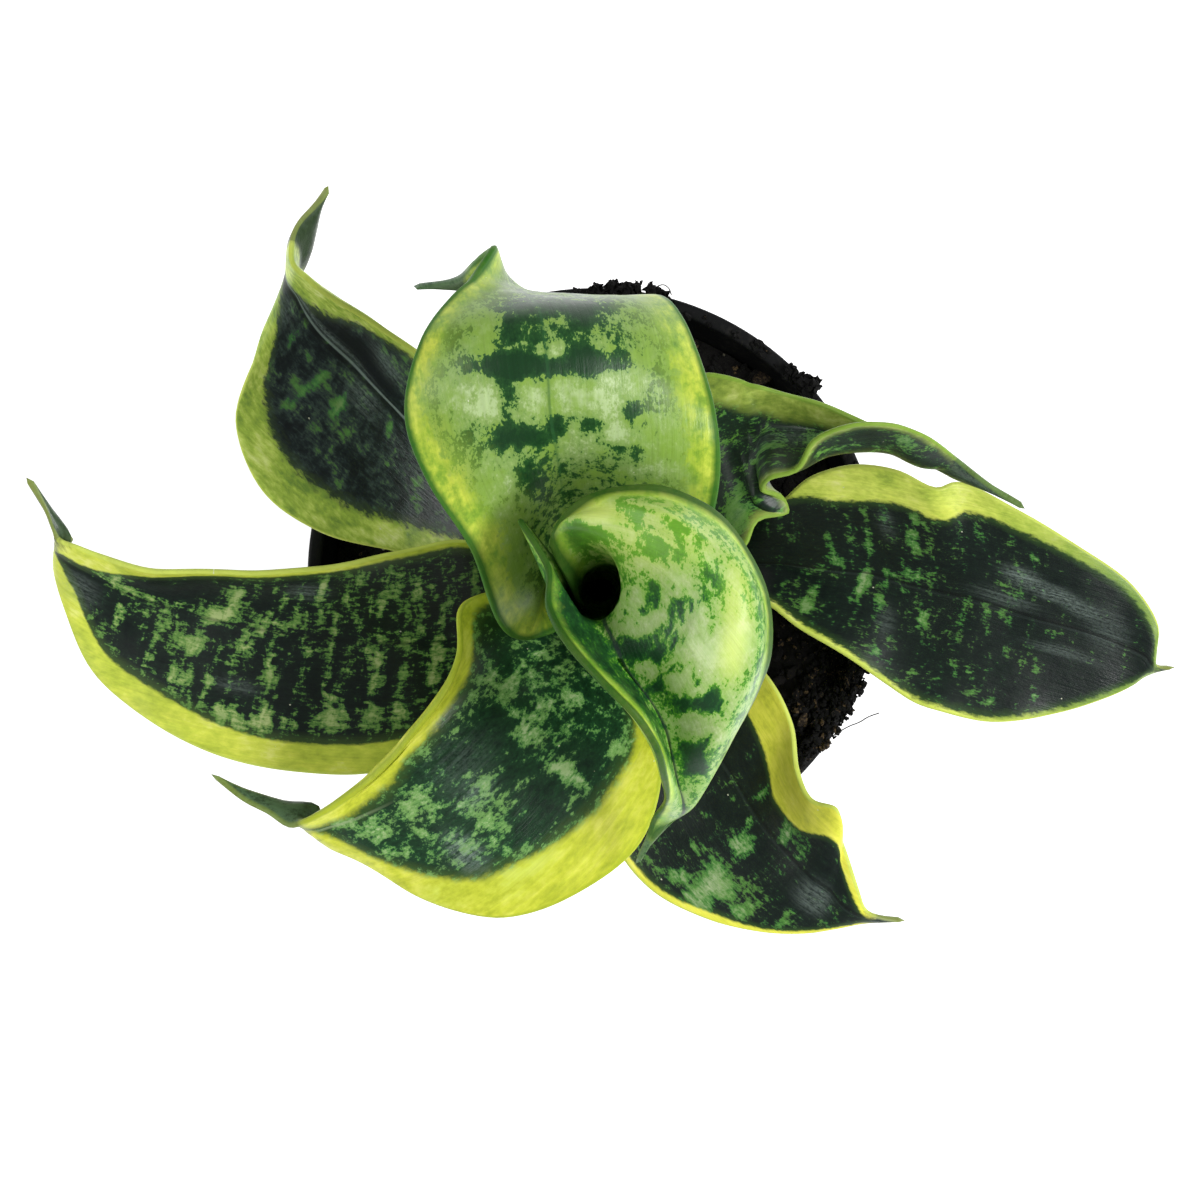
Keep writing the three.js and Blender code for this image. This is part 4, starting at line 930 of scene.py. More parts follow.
        (-5, 80, 2.2, 1.4, 0.35), (-5, 74.5, 0.8, 1.1, 0.3), (-11.5, 72, 3.3, 0.8, 0.35),
        (-7.5, 71, 2.8, 0.8, 0.45), (-14, 72.5, 1.1, 0.6, 0.2), (-8.5, 65.5, 2.2, 1.4, 0.45),
        (-7, 65, 1.7, 1.1, 0.35), (-14, 67.5, 2.2, 0.8, 0.2), (-4, 55, 1.7, 1.1, 0.4),
    ],
    "leaf_right": [
        (2, 85, 1.4, 1, 0.45), (8.5, 83.5, 1.4, 0.7, 0.35), (14, 84.5, 1.1, 0.8, 0.3),
        (-12, 81, 0.6, 1.4, 0.3), (-4, 78, 1.7, 1.1, 0.3), (1, 75, 0.7, 1.4, 0.35),
        (1, 72.5, 0.8, 0.6, 0.3), (7, 77.5, 1.7, 0.8, 0.15), (0.5, 69, 1.7, 0.8, 0.3),
        (4, 68.5, 1.7, 0.8, 0.25), (-13, 72, 2.2, 1.1, 0.3), (-7, 71, 0.8, 0.6, 0.2),
        (13, 69, 1.7, 0.8, 0.2), (17, 76.5, 1.1, 1.1, 0.3), (19.5, 68.5, 0.8, 1.1, 0.4),
        (17, 66, 0.8, 0.8, 0.2), (5.5, 61.5, 2.2, 0.8, 0.4), (2, 60.5, 0.8, 0.7, 0.3),
        (-10, 59, 3.3, 1.4, 0.5), (-14.5, 60.5, 1.1, 1.1, 0.35), (-2.5, 59, 1.4, 1.7, 0.5),
        (1, 57.5, 1.1, 1.1, 0.25), (-12.5, 54.5, 0.7, 1.1, 0.5), (-14.5, 54.5, 1.1, 1.1, 0.25),
        (-1.5, 54.5, 1, 1.4, 0.5), (1, 54, 1.1, 1.1, 0.3), (4.5, 53.5, 1.7, 1.1, 0.35),
        (11, 57, 1.1, 0.7, 0.25), (14, 55, 1.1, 1.4, 0.4), (-10, 50.5, 0.7, 1, 0.5),
        (-6, 50.5, 1.7, 1.1, 0.35), (0.5, 50, 2.8, 1.4, 0.55), (3.5, 49, 1.1, 1.1, 0.45),
        (5.5, 48, 0.8, 0.8, 0.45), (-14, 50.5, 1.1, 0.6, 0.3), (-2.5, 44.5, 1.7, 1.4, 0.4),
        (2.5, 43.5, 0.8, 0.8, 0.3), (-0.5, 41.5, 0.8, 0.8, 0.25), (5, 41.5, 1.7, 1.1, 0.4),
        (8.5, 41, 1.9, 1.4, 0.55), (1, 39, 1.1, 0.8, 0.2),
    ],
}

# Broad darker stretches of painted shade across and along the blade, such as on the youngest leaf's steep
# strip by the funnel and in the fold beside the back-left leaf's midrib, and one faint pale stretch
PAINTED_SHADE = {
    "leaf_centre": [(9, 92, 8, 32, -0.3)],
    "leaf_back": [(0, 118, 9, 8, -0.12)],
    "leaf_left": [(0, 112, 12, 8, -0.12), (10, 95, 8, 10, -0.08)],
    "leaf_right": [(0, 92, 20, 14, -0.1)],
    "leaf_front_right": [(8, 40, 14, 12, -0.1)],
    "leaf_back_left": [(3, 68, 2.2, 13, -0.3), (-3.5, 66, 3, 9, 0.04)],
}

# Patches of painted grey sheen, across and along the blade
PAINTED_SHEEN = {
    "leaf_right": [
        (-4.5, 90, 1.5, 3, 0.3), (-6, 85, 1.4, 4, 0.4), (-7.5, 79, 1.8, 3.5, 0.4),
        (-2.5, 76, 1.5, 6, 0.18), (4.5, 88, 1, 7, 0.18), (-12, 54.5, 3, 1.5, 0.2), (8, 55, 3, 1.5, 0.15),
        (-2, 95, 4, 4, 0.15),
    ],
    "leaf_front_left": [(-14.5, 88, 4.5, 2.3, 0.4), (-8, 81, 2.2, 3.3, 0.25), (-2, 79, 5, 6, 0.12)],
    "leaf_back_left": [
        (-3.5, 62, 2.2, 4.5, 0.3), (7, 60, 3, 5, 0.25), (-4, 85, 3, 3, 0.2), (1, 75, 0.5, 12, 0.35),
    ],
    "leaf_front_right": [(2.5, 75, 3.3, 3.3, 0.25)],
    "leaf_left": [(-11.5, 78, 1.2, 4, 0.2), (10, 70, 2, 4, 0.25), (-4, 110, 3, 4, 0.2)],
    "leaf_back_right": [(3, 72, 3, 6, 0.2)],
}

# Bright yellow spots, in the skin's own coordinates
GOLD = {
    "leaf_centre": [
        # The spots at (22.5, -6) and (21.5, -14) are the right margin's yellow with a painted highlight
        (-0.5, 9.5, 3.2, 1.8, 1.2), (9, 6, 13, 6.5, 0.9), (22.5, -6, 2.6, 8, 1.2),
        (21.5, -14, 2.4, 4, 0.9), (3.5, 9.5, 3, 1.6, 0.4),
    ],
    "leaf_back": [
        (-27, 37, 2.4, 4, 0.6), (-27.5, 30, 2, 4, 0.4), (-22, 14, 2.2, 5.5, 0.6), (-25, 22, 2, 3, 0.3),
        (16.5, 34, 2.2, 5, 0.45), (17.2, 24, 1.8, 5, 0.3), (13, 41, 3, 3, 0.35),
    ],
    "leaf_right": [(-15.5, 68, 3, 7, 0.8), (-16, 56, 3, 2, 0.5)],
    "leaf_front_left": [(-23, 84, 3, 6, 0.6), (-19, 95, 3, 4, 0.5)],
    "leaf_left": [(-21, 92, 2.5, 6, 0.5), (-22, 78, 2, 4, 0.5)],
}

# Node, sections, slot, look, skin coordinates, and the left and right yellow bands as (length along, width)
LEAVES = [
    ("leaf_centre", CENTRE_LEAF, "young_leaf", YOUNG, "plan", [(80, 3), (110, 5), (150, 2)],
     [(80, 0), (105, 0.5), (112, 3), (125, 3.5), (150, 1.5)]),
    ("leaf_back", BACK_LEAF, "young_leaf", BACK, "plan",
     [(90, 6), (100, 5.5), (110, 4.5), (125, 4.5), (135, 4.5), (155, 4)],
     [(80, 5), (110, 6), (120, 6.5), (130, 5), (160, 3)]),
    ("leaf_front_left", FRONT_LEFT_LEAF, "middle_leaf", FRONT, "lanes",
     [(58, 3), (65, 5.5), (70, 8), (76, 10), (85, 9.7), (95, 7.8), (110, 5)],
     [(50, 3), (65, 5), (80, 5), (85, 4), (90, 4.4), (105, 3.9), (112, 2)]),
    ("leaf_back_right", BACK_RIGHT_LEAF, "middle_leaf", OLIVE, "lanes",
     [(50, 5), (65, 6), (80, 4.7), (88, 0.8), (105, 0.8)], [(50, 1.2), (120, 1.0)]),
    ("leaf_left", LEFT_LEAF, "old_leaf", LEFT, "lanes",
     [(30, 4), (50, 5.5), (70, 5), (90, 5.5), (100, 4.7), (110, 5.2), (116, 3)],
     [(30, 1.2), (88, 1.2), (98, 2.0), (106, 4.0), (116, 4)]),
    ("leaf_front_right", FRONT_RIGHT_LEAF, "old_leaf", OLD, "lanes",
     [(30, 6), (50, 9), (57, 9.5), (65, 7.8), (72, 6.5), (80, 2), (85, 1)],
     [(30, 0.8), (60, 1.2), (66, 1.8), (72, 1.2), (85, 0.6)]),
    ("leaf_back_left", BACK_LEFT_LEAF, "old_leaf", BACK_OLD, "lanes",
     [(30, 5), (50, 5.5), (60, 6.7), (80, 7.6), (92, 5), (98, 0)],
     [(50, 1.5), (60, 2), (65, 3), (70, 4), (75, 5.5), (80, 7.5), (88, 9), (95, 4), (102, 1)]),
    ("leaf_right", RIGHT_LEAF, "old_leaf", RIGHT, "lanes",
     [(36, 0), (45, 6.4), (50, 7.6), (60, 7.2), (68, 6.2), (75, 4.2), (85, 3.0), (95, 2.0), (110, 1.6)],
     [(30, 0.8), (75, 0.8), (90, 1.1), (105, 1.4)]),
]

for number, description in enumerate(LEAVES):
    leaf(number, *description)


# Pot

def moulded_black():
    """Injection-moulded polypropylene: blue-black, satin, with faint scuffs and a dusting of dried mix."""
    material, tree, shader = blank_finish("moulded_black_polypropylene")
    place = add(tree, "ShaderNodeTexCoord", give="Object")

    # Clouds of dust about 11 mm wide, of grains about 1 mm wide
    settings = {"Vector": place, "Scale": 90.0, "Detail": 6.0, "Roughness": 0.7}
    cloud = add(tree, "ShaderNodeTexNoise", settings, give="Fac")
    dust = add(tree, "ShaderNodeTexNoise", {"Vector": place, "Scale": 900.0, "Detail": 3.0}, give="Fac")
    dusty = add(tree, "ShaderNodeMath", [cloud, dust], operation="MULTIPLY")
    shown = add(tree, "ShaderNodeMapRange", [dusty, 0.27, 0.42, 0.0, 0.45])
    settings = {0: shown, 6: linear("#07080A"), 7: linear("#262422")}
    colour = add(tree, "ShaderNodeMix", settings, give=2, data_type="RGBA")
    gloss = add(tree, "ShaderNodeMapRange", [cloud, 0.3, 0.7, 0.5, 0.68])
    bump = add(tree, "ShaderNodeBump", {"Height": dust, "Distance": 0.06 * MM})
    fill(tree, shader, {
        "Base Color": colour, "Roughness": gloss, "Normal": bump, "IOR": 1.49, "Specular IOR Level": 0.2,
    })
    return material


def turned(name, profile, sides, material):
    """Closed profile of (radius, height) pairs turned round the pot's axis, its ends on the axis."""
    angles = np.linspace(0, 2 * np.pi, sides, endpoint=False)
    rings = profile[1:-1]
    vertices = [(r * math.cos(a), r * math.sin(a), z) for r, z in rings for a in angles]
    bottom = len(vertices)
    vertices += [(0, 0, profile[0][1]), (0, 0, profile[-1][1])]
    faces = ring_faces(len(rings), sides)
    faces += [(b, a, middle) for a, b, middle in fan(0, sides, bottom)]
    faces += fan(bottom - sides, sides, bottom + 1)
    return smooth_mesh(name, vertices, faces, material)


def arc(centre, radius, start, end, steps=5):
    """Points of (radius, height) on an arc, angles in degrees."""
    return [
        (centre[0] + radius * math.cos(a), centre[1] + radius * math.sin(a))
        for a in np.radians(np.linspace(start, end, steps))
    ]


def pot_profile():
    """Section through the pot, from under its middle round the rim to its floor, as (radius, height)."""
    foot_inner = FOOT_RADIUS - FOOT_WIDTH
    skirt_inner = RIM_RADIUS - SKIRT_THICKNESS
    skirt_bottom = POT_HEIGHT - SKIRT_DEPTH
    lip = RIM_RADIUS - RIM_WIDTH
    under = POT_HEIGHT - RIM_THICKNESS
    return [
        (0, 0), (HUB_RADIUS, 0), (HUB_RADIUS + 1, FLOOR_RECESS), (foot_inner, FLOOR_RECESS),
        (foot_inner + 1, 0), (FOOT_RADIUS, 0), (BASE_RADIUS - 0.6, 0.6), (BASE_RADIUS, 2.2),
        (SHOULDER_RADIUS, SHOULDER_HEIGHT), (SHOULDER_RADIUS + 0.7, under), (skirt_inner, under),
        (skirt_inner, skirt_bottom + 0.4),
        *arc((skirt_inner + SKIRT_ROUNDING, skirt_bottom + 0.4), SKIRT_ROUNDING, 180, 360),
        *arc((RIM_RADIUS - LIP_ROUNDING, POT_HEIGHT - LIP_ROUNDING), LIP_ROUNDING, 0, 90),
        *arc((lip + LIP_ROUNDING, POT_HEIGHT - LIP_ROUNDING), LIP_ROUNDING, 90, 180),
        (SHOULDER_RADIUS - WALL, SHOULDER_HEIGHT), (FOOT_RADIUS + 0.5, 3),
        (FOOT_RADIUS - 0.7, FLOOR_THICKNESS), (foot_inner + 1, FLOOR_THICKNESS),
        (foot_inner, FLOOR_RECESS + FLOOR_THICKNESS), (HUB_RADIUS + 1, FLOOR_RECESS + FLOOR_THICKNESS),
        (HUB_RADIUS, FLOOR_THICKNESS), (0, FLOOR_THICKNESS),
    ]


def baked(name, source, material):
    """Plain mesh of an object's evaluated shape in one material; the object is removed."""
    graph = bpy.context.evaluated_depsgraph_get()
    mesh = bpy.data.meshes.new_from_object(source.evaluated_get(graph))
    mesh.name = name
    mesh.materials.clear()
    mesh.materials.append(material)
    bpy.data.objects.remove(source)
    return mesh


def drain_cutters():
    """Slots through the corner between wall and floor, and round holes in the recessed floor."""
    cutters = bmesh.new()
    slot_place = Matrix.Translation([c * MM for c in SLOT_PLACE])
    slot_size = Matrix.Diagonal([*(c * MM for c in DRAIN_SLOT), 1])
    hole_place = Matrix.Translation([c * MM for c in HOLE_PLACE])
    radius = DRAIN_HOLE_RADIUS * MM
    for i in range(DRAIN_COUNT):
        angle = (i + 0.5) * 2 * math.pi / DRAIN_COUNT
        turn = Matrix.Rotation(angle, 4, "Z")
        bmesh.ops.create_cube(cutters, size=1, matrix=turn @ slot_place @ slot_size)
        turn = Matrix.Rotation(angle + math.pi / DRAIN_COUNT, 4, "Z")
        bmesh.ops.create_cone(
            cutters, cap_ends=True, segments=24, radius1=radius, radius2=radius,
            depth=DRAIN_HOLE_DEPTH * MM, matrix=turn @ hole_place,
        )
    mesh = bpy.data.meshes.new("drain_cutters")
    cutters.to_mesh(mesh)
    cutters.free()
    return mesh


def pot():
    """Pot shell with its drains cut through, its edges crisp."""
    material = moulded_black()
    shell = into_scene("pot_draft", turned("pot_draft", pot_profile(), POT_SIDES, material))
    cutter = into_scene("drain_cutters", drain_cutters())
    cut = shell.modifiers.new("drains", "BOOLEAN")
    cut.object = cutter
    cut.operation = "DIFFERENCE"
    cut.solver = "EXACT"
    mesh = baked("pot_shell", shell, material)
    bpy.data.objects.remove(cutter)
    mesh.shade_smooth()
    mesh.set_sharp_from_angle(angle=math.radians(CREASE_ANGLE))
    piece("pot_shell", mesh, "pot_plastic", ["pot"])


pot()


# Soil

def potting_mix():
    """Moist peat and bark fines: near black, dull, with brown flecks."""
    material, tree, shader = blank_finish("peat_potting_mix")
    place = add(tree, "ShaderNodeTexCoord", give="Object")

    # Fines 1.7 mm wide, browner in spots about 6 mm wide
    settings = {"Vector": place, "Scale": 600.0, "Detail": 6.0, "Roughness": 0.75}
    grains = add(tree, "ShaderNodeTexNoise", settings, give="Fac")
    spots = add(tree, "ShaderNodeTexNoise", {"Vector": place, "Scale": 160.0, "Detail": 4.0}, give="Fac")
    both = add(tree, "ShaderNodeMath", [grains, spots], operation="MULTIPLY")
    shown = add(tree, "ShaderNodeMapRange", [both, 0.36, 0.5, 0.0, 1.0])
    settings = {0: shown, 6: linear("#080605"), 7: linear("#1C140E")}
    colour = add(tree, "ShaderNodeMix", settings, give=2, data_type="RGBA")
    bump = add(tree, "ShaderNodeBump", {"Height": grains, "Distance": 0.6 * MM})
    fill(tree, shader, {"Base Color": colour, "Normal": bump, "Roughness": 0.9, "Specular IOR Level": 0.3})
    return material


def seeded(seed):
    """Repeatable random numbers from 0 to 1."""
    state = seed
    while True:
        state = (state * 1664525 + 1013904223) % 2 ** 32
        yield state / 2 ** 32


def clods():
    """Lumps of the mix as (x, y, width, height) in mm, the same as the solid's."""
    draw = seeded(5)
    for _ in range(70):
        reach = 20 + 29 * math.sqrt(next(draw))
        angle = 2 * math.pi * next(draw)
        width = 2.2 + 2.6 * next(draw)
        yield reach * math.cos(angle), reach * math.sin(angle), width, -0.9 + 2.9 * next(draw)


CLODS = list(clods())
HEAP = (44, -25, 13, 4.2)


def heap_height(heap, x, y):
    return heap[3] * np.exp(-((x - heap[0]) ** 2 + (y - heap[1]) ** 2) / heap[2] ** 2)


def soil_top(x, y):
    """Height of the mix's surface in mm."""
    outward = smoothstep(np.hypot(x, y), 20, 32)
    waves = 0.5 * np.sin(x / 5.1 + 1) + 0.4 * np.cos(y / 4.3 - x / 9)
    lumps = sum(heap_height(clod, x, y) for clod in CLODS)
    return SOIL_LEVEL + waves + outward * lumps + heap_height(HEAP, x, y)


# Places in mm of the clods that lie on the rim, and the bank of mix at the front right as a heap
RIM_CLODS = [
    (0.5, 53.2, 93.2), (3.2, 53.9, 93.6), (5.6, 53.3, 94.0), (7.6, 53.6, 93.3), (10.2, 53.2, 93.0),
    (12.5, 52.3, 92.9), (36.8, 38.2, 93.0), (38.8, 36.6, 93.6), (40.3, 35.4, 93.0),
]
BANK = (42.5, -25.5, 10, 3.2)

# Dead root hairs on the rim as places in mm, and their thickness
ROOT_HAIRS = [
    [
        (44.6, -30.4, 91.5), (45.9, -29.4, 92.8), (47.8, -28.3, 93.4), (49.6, -27.6, 93.2),
        (51.4, -26.6, 92.6), (53.4, -25.9, 92.4),
    ],
    [(9.5, 52.0, 92.5), (10.9, 53.2, 94.2), (12.4, 54.2, 94.6), (13.8, 53.8, 93.4), (14.4, 52.6, 92.4)],
    [(48.2, -18.0, 91.8), (50.0, -17.1, 93.0), (51.8, -17.0, 93.2), (52.9, -16.2, 92.3)],
]
HAIR_THICKNESS = 0.22


def soil_height(x, y):
    """Height of the dressed soil in mm: the solid's surface, banked at the front right, with fine grit."""
    places = zip(np.ravel(x), np.ravel(y))
    grit = [noise.fractal(Vector((a, b, 0)) / GRIT_PITCH, 0.9, 2.1, 4) for a, b in places]
    return soil_top(x, y) + heap_height(BANK, x, y) + GRIT_HEIGHT * np.reshape(grit, np.shape(x))


def soil():
    """The mix as one closed body: a fine crumbly top on a plain plug that fills the pot."""
    radii = np.linspace(SOIL_EDGE, SOIL_EDGE / SOIL_RINGS, SOIL_RINGS)
    angles = np.linspace(0, 2 * np.pi, SOIL_SIDES, endpoint=False)
    x = radii[:, None] * np.cos(angles)
    y = radii[:, None] * np.sin(angles)
    vertices = [(r * math.cos(a), r * math.sin(a), h) for r, h in PLUG for a in angles]
    vertices += np.stack([x, y, soil_height(x, y)], axis=-1).reshape(-1, 3).tolist()
    top = len(vertices)
    vertices += [(0, 0, float(soil_top(0.0, 0.0))), (0, 0, PLUG[0][1])]
    faces = ring_faces(len(PLUG) + SOIL_RINGS, SOIL_SIDES) + fan(top - SOIL_SIDES, SOIL_SIDES, top)
    faces += [(b, a, middle) for a, b, middle in fan(0, SOIL_SIDES, top + 1)]
    piece("soil_mix", smooth_mesh("soil_mix", vertices, faces, potting_mix()), "potting_mix", ["soil"])


def crumb_skin(name, stops):
    """Loose bits of the mix: rough and dull, each bit its own tone, with finer grain over it."""
    material, tree, shader = blank_finish(name)
    place = add(tree, "ShaderNodeTexCoord", give="Object")

    # Grain about half a millimetre wide
    settings = {"Vector": place, "Scale": 1800.0, "Detail": 4.0, "Roughness": 0.7}
    grain = add(tree, "ShaderNodeTexNoise", settings, give="Fac")
    shade = add(tree, "ShaderNodeAttribute", give="Fac", attribute_name="shade")
    tone = add(tree, "ShaderNodeMath", [grain, 0.9, shade], operation="MULTIPLY_ADD")
    tone = add(tree, "ShaderNodeMath", [tone, 0.45], operation="SUBTRACT")
    colour = add(tree, "ShaderNodeValToRGB", [tone], stops=stops)
    bump = add(tree, "ShaderNodeBump", {"Height": grain, "Distance": 0.4 * MM})
    fill(tree, shader, {"Base Color": colour, "Normal": bump, "Roughness": 0.88, "Specular IOR Level": 0.3})
    return material


# Inputs of the crumbs: sizes, length and flatness for their width, tilt, depth and pitch of their lumps
CRUMB_INPUTS = [
    ("Points", "NodeSocketGeometry"), ("Smallest", "NodeSocketFloat"), ("Largest", "NodeSocketFloat"),
    ("Longest", "NodeSocketFloat"), ("Flattest", "NodeSocketFloat"), ("Tilt", "NodeSocketFloat"),
    ("Lumpiness", "NodeSocketFloat"), ("Pitch", "NodeSocketFloat"), ("Fineness", "NodeSocketInt"),
    ("Seed", "NodeSocketInt"), ("Material", "NodeSocketMaterial"),
]


def crumb_tree():
    """Sets a lump on every point, turned, sized and roughened at random, and makes them one mesh."""
    tree = bpy.data.node_groups.new("crumbs_on_points", "GeometryNodeTree")
    for name, kind in CRUMB_INPUTS:
        tree.interface.new_socket(name, in_out="INPUT", socket_type=kind)
    tree.interface.new_socket("Mesh", in_out="OUTPUT", socket_type="NodeSocketGeometry")
    given = add(tree, "NodeGroupInput").node.outputs
    seeds = [add(tree, "ShaderNodeMath", [given["Seed"], step], operation="ADD") for step in range(4)]
    chance = add(tree, "FunctionNodeRandomValue", {8: seeds[0]}, give=1, data_type="FLOAT")
    small_mostly = add(tree, "ShaderNodeMath", [chance, 2.2], operation="POWER")
    size = add(tree, "ShaderNodeMapRange", {0: small_mostly, 3: given["Smallest"], 4: given["Largest"]})
    lengths = {2: 1.0, 3: given["Longest"], 8: seeds[1]}
    length = add(tree, "FunctionNodeRandomValue", lengths, give=1, data_type="FLOAT")
    flats = {2: given["Flattest"], 3: 1.0, 8: seeds[2]}
    flatness = add(tree, "FunctionNodeRandomValue", flats, give=1, data_type="FLOAT")
    shape = add(tree, "ShaderNodeCombineXYZ", [length, 1.0, flatness])
    scale = add(tree, "ShaderNodeVectorMath", {0: shape, "Scale": size}, operation="SCALE")
    steep = add(tree, "ShaderNodeCombineXYZ", [given["Tilt"], given["Tilt"], 2 * math.pi])
    back = add(tree, "ShaderNodeVectorMath", [steep, (-1, -1, 0)], operation="MULTIPLY")
    turns = {0: back, 1: steep, 8: seeds[3]}
    turn = add(tree, "FunctionNodeRandomValue", turns, data_type="FLOAT_VECTOR")
    lump = add(tree, "GeometryNodeMeshIcoSphere", [0.5, given["Fineness"]])
    settings = {"Points": given["Points"], "Instance": lump, "Rotation": turn, "Scale": scale}
    spread = add(tree, "GeometryNodeInstanceOnPoints", settings)
    tint = add(tree, "FunctionNodeRandomValue", {8: seeds[1]}, give=1, data_type="FLOAT")
    spread = add(
        tree, "GeometryNodeStoreNamedAttribute", {"Geometry": spread, "Name": "shade", "Value": tint},
        data_type="FLOAT", domain="INSTANCE",
    )
    whole = add(tree, "GeometryNodeRealizeInstances", [spread])
    place = add(tree, "GeometryNodeInputPosition")
    pitch = add(tree, "ShaderNodeMath", [1.0, given["Pitch"]], operation="DIVIDE")
    wobble = add(tree, "ShaderNodeTexNoise", {"Vector": place, "Scale": pitch, "Detail": 2.0}, give="Color")
    wobble = add(tree, "ShaderNodeVectorMath", [wobble, (0.5, 0.5, 0.5)], operation="SUBTRACT")
    wobble = add(tree, "ShaderNodeVectorMath", {0: wobble, "Scale": given["Lumpiness"]}, operation="SCALE")
    rough = add(tree, "GeometryNodeSetPosition", {"Geometry": whole, "Offset": wobble})
    finished = add(tree, "GeometryNodeSetMaterial", {"Geometry": rough, "Material": given["Material"]})
    add(tree, "NodeGroupOutput", [finished])
    return tree


def crumbs(name, tree, places, material, **sizes):
    """Scatters bits of the mix, sizes in mm, on places in mm; the piece rides with the soil."""
    points = bpy.data.meshes.new(name + "_places")
    points.from_pydata((np.asarray(places) * MM).tolist(), [], [])
    draft = into_scene(name + "_draft", points)
    modifier = draft.modifiers.new("crumbs", "NODES")
    modifier.node_group = tree
    sockets = {item.name: item.identifier for item in tree.interface.items_tree if item.in_out == "INPUT"}
    lengths = {key: sizes[key] * MM for key in ("Smallest", "Largest", "Lumpiness", "Pitch")}
    for key, value in {"Material": material, **sizes, **lengths}.items():
        modifier[sockets[key]] = value
    piece(name, baked(name, draft, material), "potting_mix")


def scattered(count, seed, inner, outer, start=0, end=360, lift=0.0):
    """Places on the soil, or on the rim where they lie that far out, in a sector given in degrees."""
    draw = seeded(seed)
    reach = np.sqrt([inner ** 2 + (outer ** 2 - inner ** 2) * next(draw) for _ in range(count)])
    angle = np.radians([start + (end - start) * next(draw) for _ in range(count)])
    x, y = reach * np.cos(angle), reach * np.sin(angle)
    ground = soil_height(x, y)
    on_rim = smoothstep(reach, 49.0, 51.5)
    z = ground * (1 - on_rim) + np.maximum(ground, POT_HEIGHT) * on_rim
    return np.stack([x, y, z + lift], axis=1)


def root_hairs(material):
    """Thin curled fibres laid over the rim."""
    curve = bpy.data.curves.new("root_hairs", "CURVE")
    curve.dimensions = "3D"
    curve.bevel_depth = HAIR_THICKNESS / 2 * MM
    curve.bevel_resolution = 1
    curve.use_fill_caps = True
    for places in ROOT_HAIRS:
        spline = curve.splines.new("BEZIER")
        spline.bezier_points.add(len(places) - 1)
        for point, place in zip(spline.bezier_points, places):
            point.co = Vector(place) * MM
            point.handle_left_type = point.handle_right_type = "AUTO"
    draft = into_scene("root_hair_draft", curve)
    piece("root_hairs", baked("root_hairs", draft, material), "potting_mix")


def loose_mix():
    """Crumbs, bark, perlite, clods on the rim and root hairs, as the repotted plant carries them."""
    tree = crumb_tree()
    stops = [(0.1, "#020202"), (0.9, "#080706"), (0.97, "#1C150F"), (1.0, "#54442C")]
    peat = crumb_skin("peat_crumbs", stops)
    stops = [(0.1, "#050403"), (0.7, "#0D0907"), (0.9, "#33281C"), (1.0, "#7A6848")]
    bark = crumb_skin("composted_bark", stops)
    stops = [(0.1, "#4A463C"), (0.6, "#857E6C"), (1.0, "#B5AE9A")]
    stone = crumb_skin("expanded_perlite", stops)
    crumbs(
        "soil_crumbs", tree, scattered(5200, 21, 12, 49), peat, Seed=1, Fineness=1,
        Smallest=0.4, Largest=1.9, Longest=1.7, Flattest=0.5, Tilt=3.0, Lumpiness=0.9, Pitch=0.6,
    )
    banked = np.concatenate([
        scattered(1100, 22, 44, 53.1, -64, -6, 0.1), scattered(200, 23, 50.5, 53.4, -52, -12, 0.6),
        scattered(80, 24, 51.5, 53.6, 20, 110, 0.2), scattered(70, 27, 53.4, 54.7, -38, -18, -0.1),
    ])
    crumbs(
        "rim_crumbs", tree, banked, peat, Seed=5, Fineness=2,
        Smallest=0.4, Largest=1.7, Longest=2.0, Flattest=0.5, Tilt=3.0, Lumpiness=1.2, Pitch=0.5,
    )
    crumbs(
        "bark_bits", tree, scattered(150, 25, 14, 50, lift=0.4), bark, Seed=9, Fineness=2,
        Smallest=1.0, Largest=3.4, Longest=1.9, Flattest=0.25, Tilt=0.6, Lumpiness=1.3, Pitch=0.9,
    )
    crumbs(
        "perlite_grains", tree, scattered(70, 26, 14, 50, lift=0.5), stone, Seed=13, Fineness=2,
        Smallest=0.4, Largest=1.3, Longest=1.3, Flattest=0.7, Tilt=3.0, Lumpiness=0.4, Pitch=0.8,
    )
    crumbs(
        "rim_clods", tree, RIM_CLODS, peat, Seed=17, Fineness=4,
        Smallest=2.2, Largest=3.6, Longest=1.5, Flattest=0.7, Tilt=1.0, Lumpiness=4.0, Pitch=1.0,
    )
    root_hairs(bark)


soil()
loose_mix()


# Stage

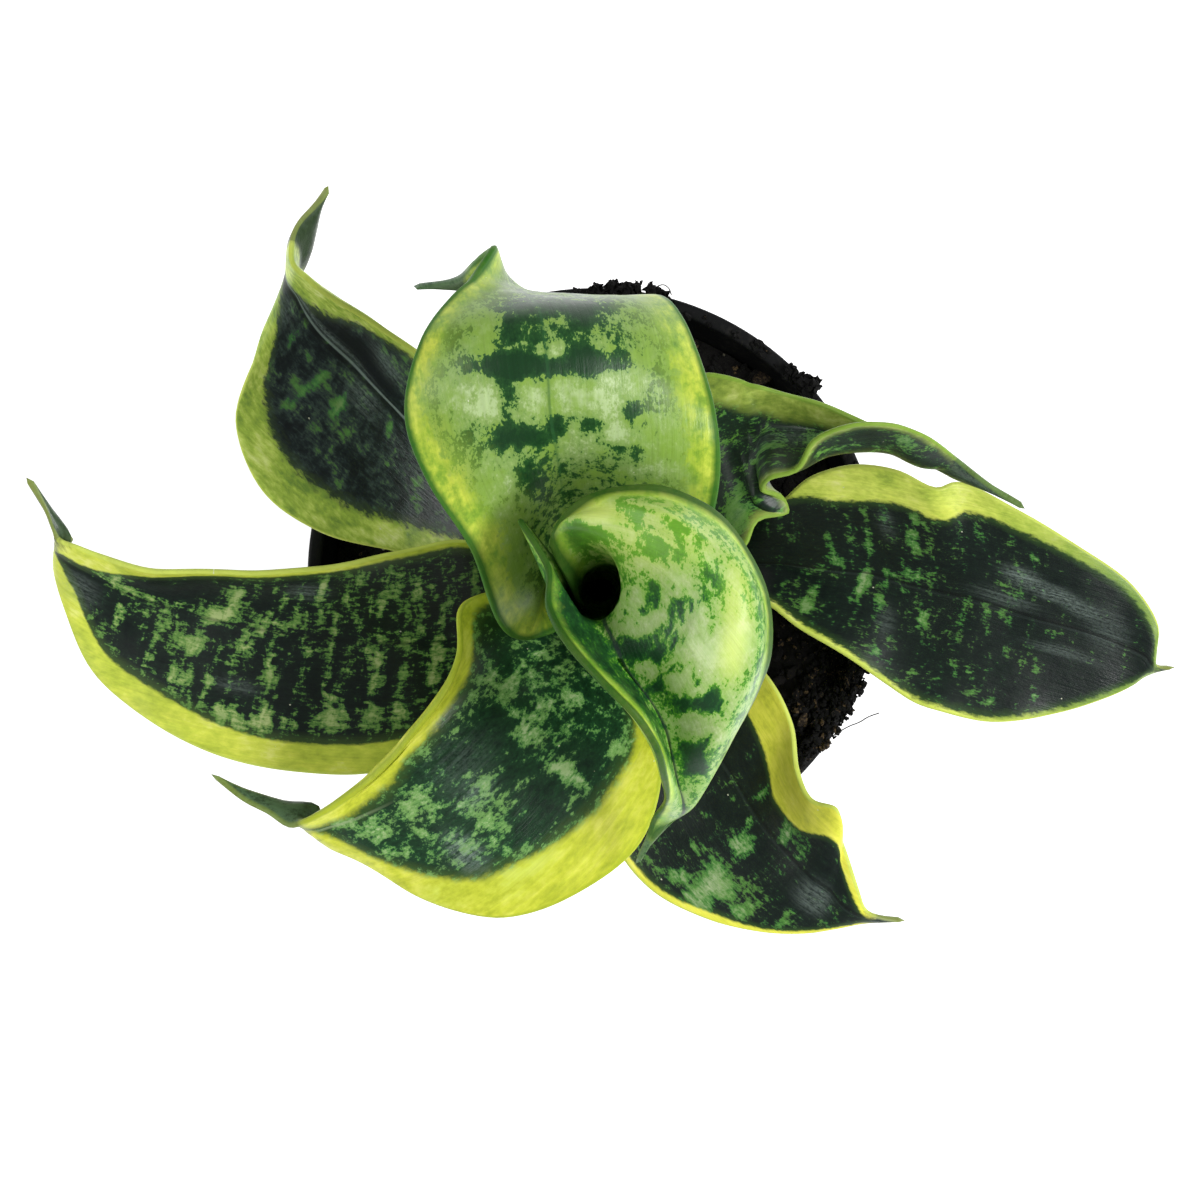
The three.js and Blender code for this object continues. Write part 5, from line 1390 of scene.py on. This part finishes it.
def stage():
    """Wide white paper under the pot, with a faint glow that keeps it even."""
    paper, tree, shader = blank_finish("white_paper_sweep")
    fill(tree, shader, {
        "Base Color": (0.9, 0.9, 0.9, 1), "Roughness": 0.9, "Emission Color": linear("#FFFFFF"),
        "Emission Strength": 0.6,
    })
    mesh = bpy.data.meshes.new("floor")
    corners = [(x * FLOOR_HALF, y * FLOOR_HALF, 0) for x, y in ((-1, -1), (1, -1), (1, 1), (-1, 1))]
    mesh.from_pydata(corners, [], [(0, 1, 2, 3)])
    mesh.materials.append(paper)
    floor = into_scene("floor", mesh)
    floor.location.z = -FLOOR_DROP


def lamp(name, place, size, power):
    """Soft box of (length, width) in m, its length lying front to back."""
    data = bpy.data.lights.new(name, "AREA")
    data.shape = "RECTANGLE"
    data.size, data.size_y = size
    data.energy = power
    made = into_scene(name, data)
    made.location = place
    made.rotation_euler = (Vector(LAMP_AIM) - Vector(place)).to_track_quat("-Z", "Y").to_euler()


def light():
    """White studio: even air, a long key lamp and a broad fill.

    The camera sees the air as pure white, and gloss mirrors it dimly.
    """
    world = bpy.data.worlds.new("studio_air")
    world.use_nodes = True
    tree = world.node_tree
    paths = add(tree, "ShaderNodeLightPath").node.outputs
    limits = [paths["Is Glossy Ray"], 0.0, 1.0, AIR_LIGHT, MIRRORED_LIGHT]
    strength = add(tree, "ShaderNodeMapRange", limits)
    strength = add(tree, "ShaderNodeMath", [strength, paths["Is Camera Ray"]], operation="MAXIMUM")
    fill(tree, tree.nodes["Background"], {"Color": linear("#FFFFFF"), "Strength": strength})
    bpy.context.scene.world = world
    lamp("key", place=(0.8, -0.15, 0.95), size=(0.9, 0.25), power=13.2)
    lamp("fill", place=(-1.1, 0.0, 0.9), size=(0.8, 0.8), power=7.5)
    bpy.context.scene.view_settings.view_transform = "Standard"


def camera():
    """Pinhole above the plant that looks straight down, at the picture's scale."""
    data = bpy.data.cameras.new("camera")
    data.sensor_width = SENSOR_WIDTH
    data.lens = FOCAL_PIXELS / PICTURE_WIDTH * SENSOR_WIDTH
    data.clip_start = 0.01
    made = into_scene("camera", data)
    made.location = Vector(CAMERA_PLACE) * MM
    bpy.context.scene.camera = made


stage()
light()
camera()
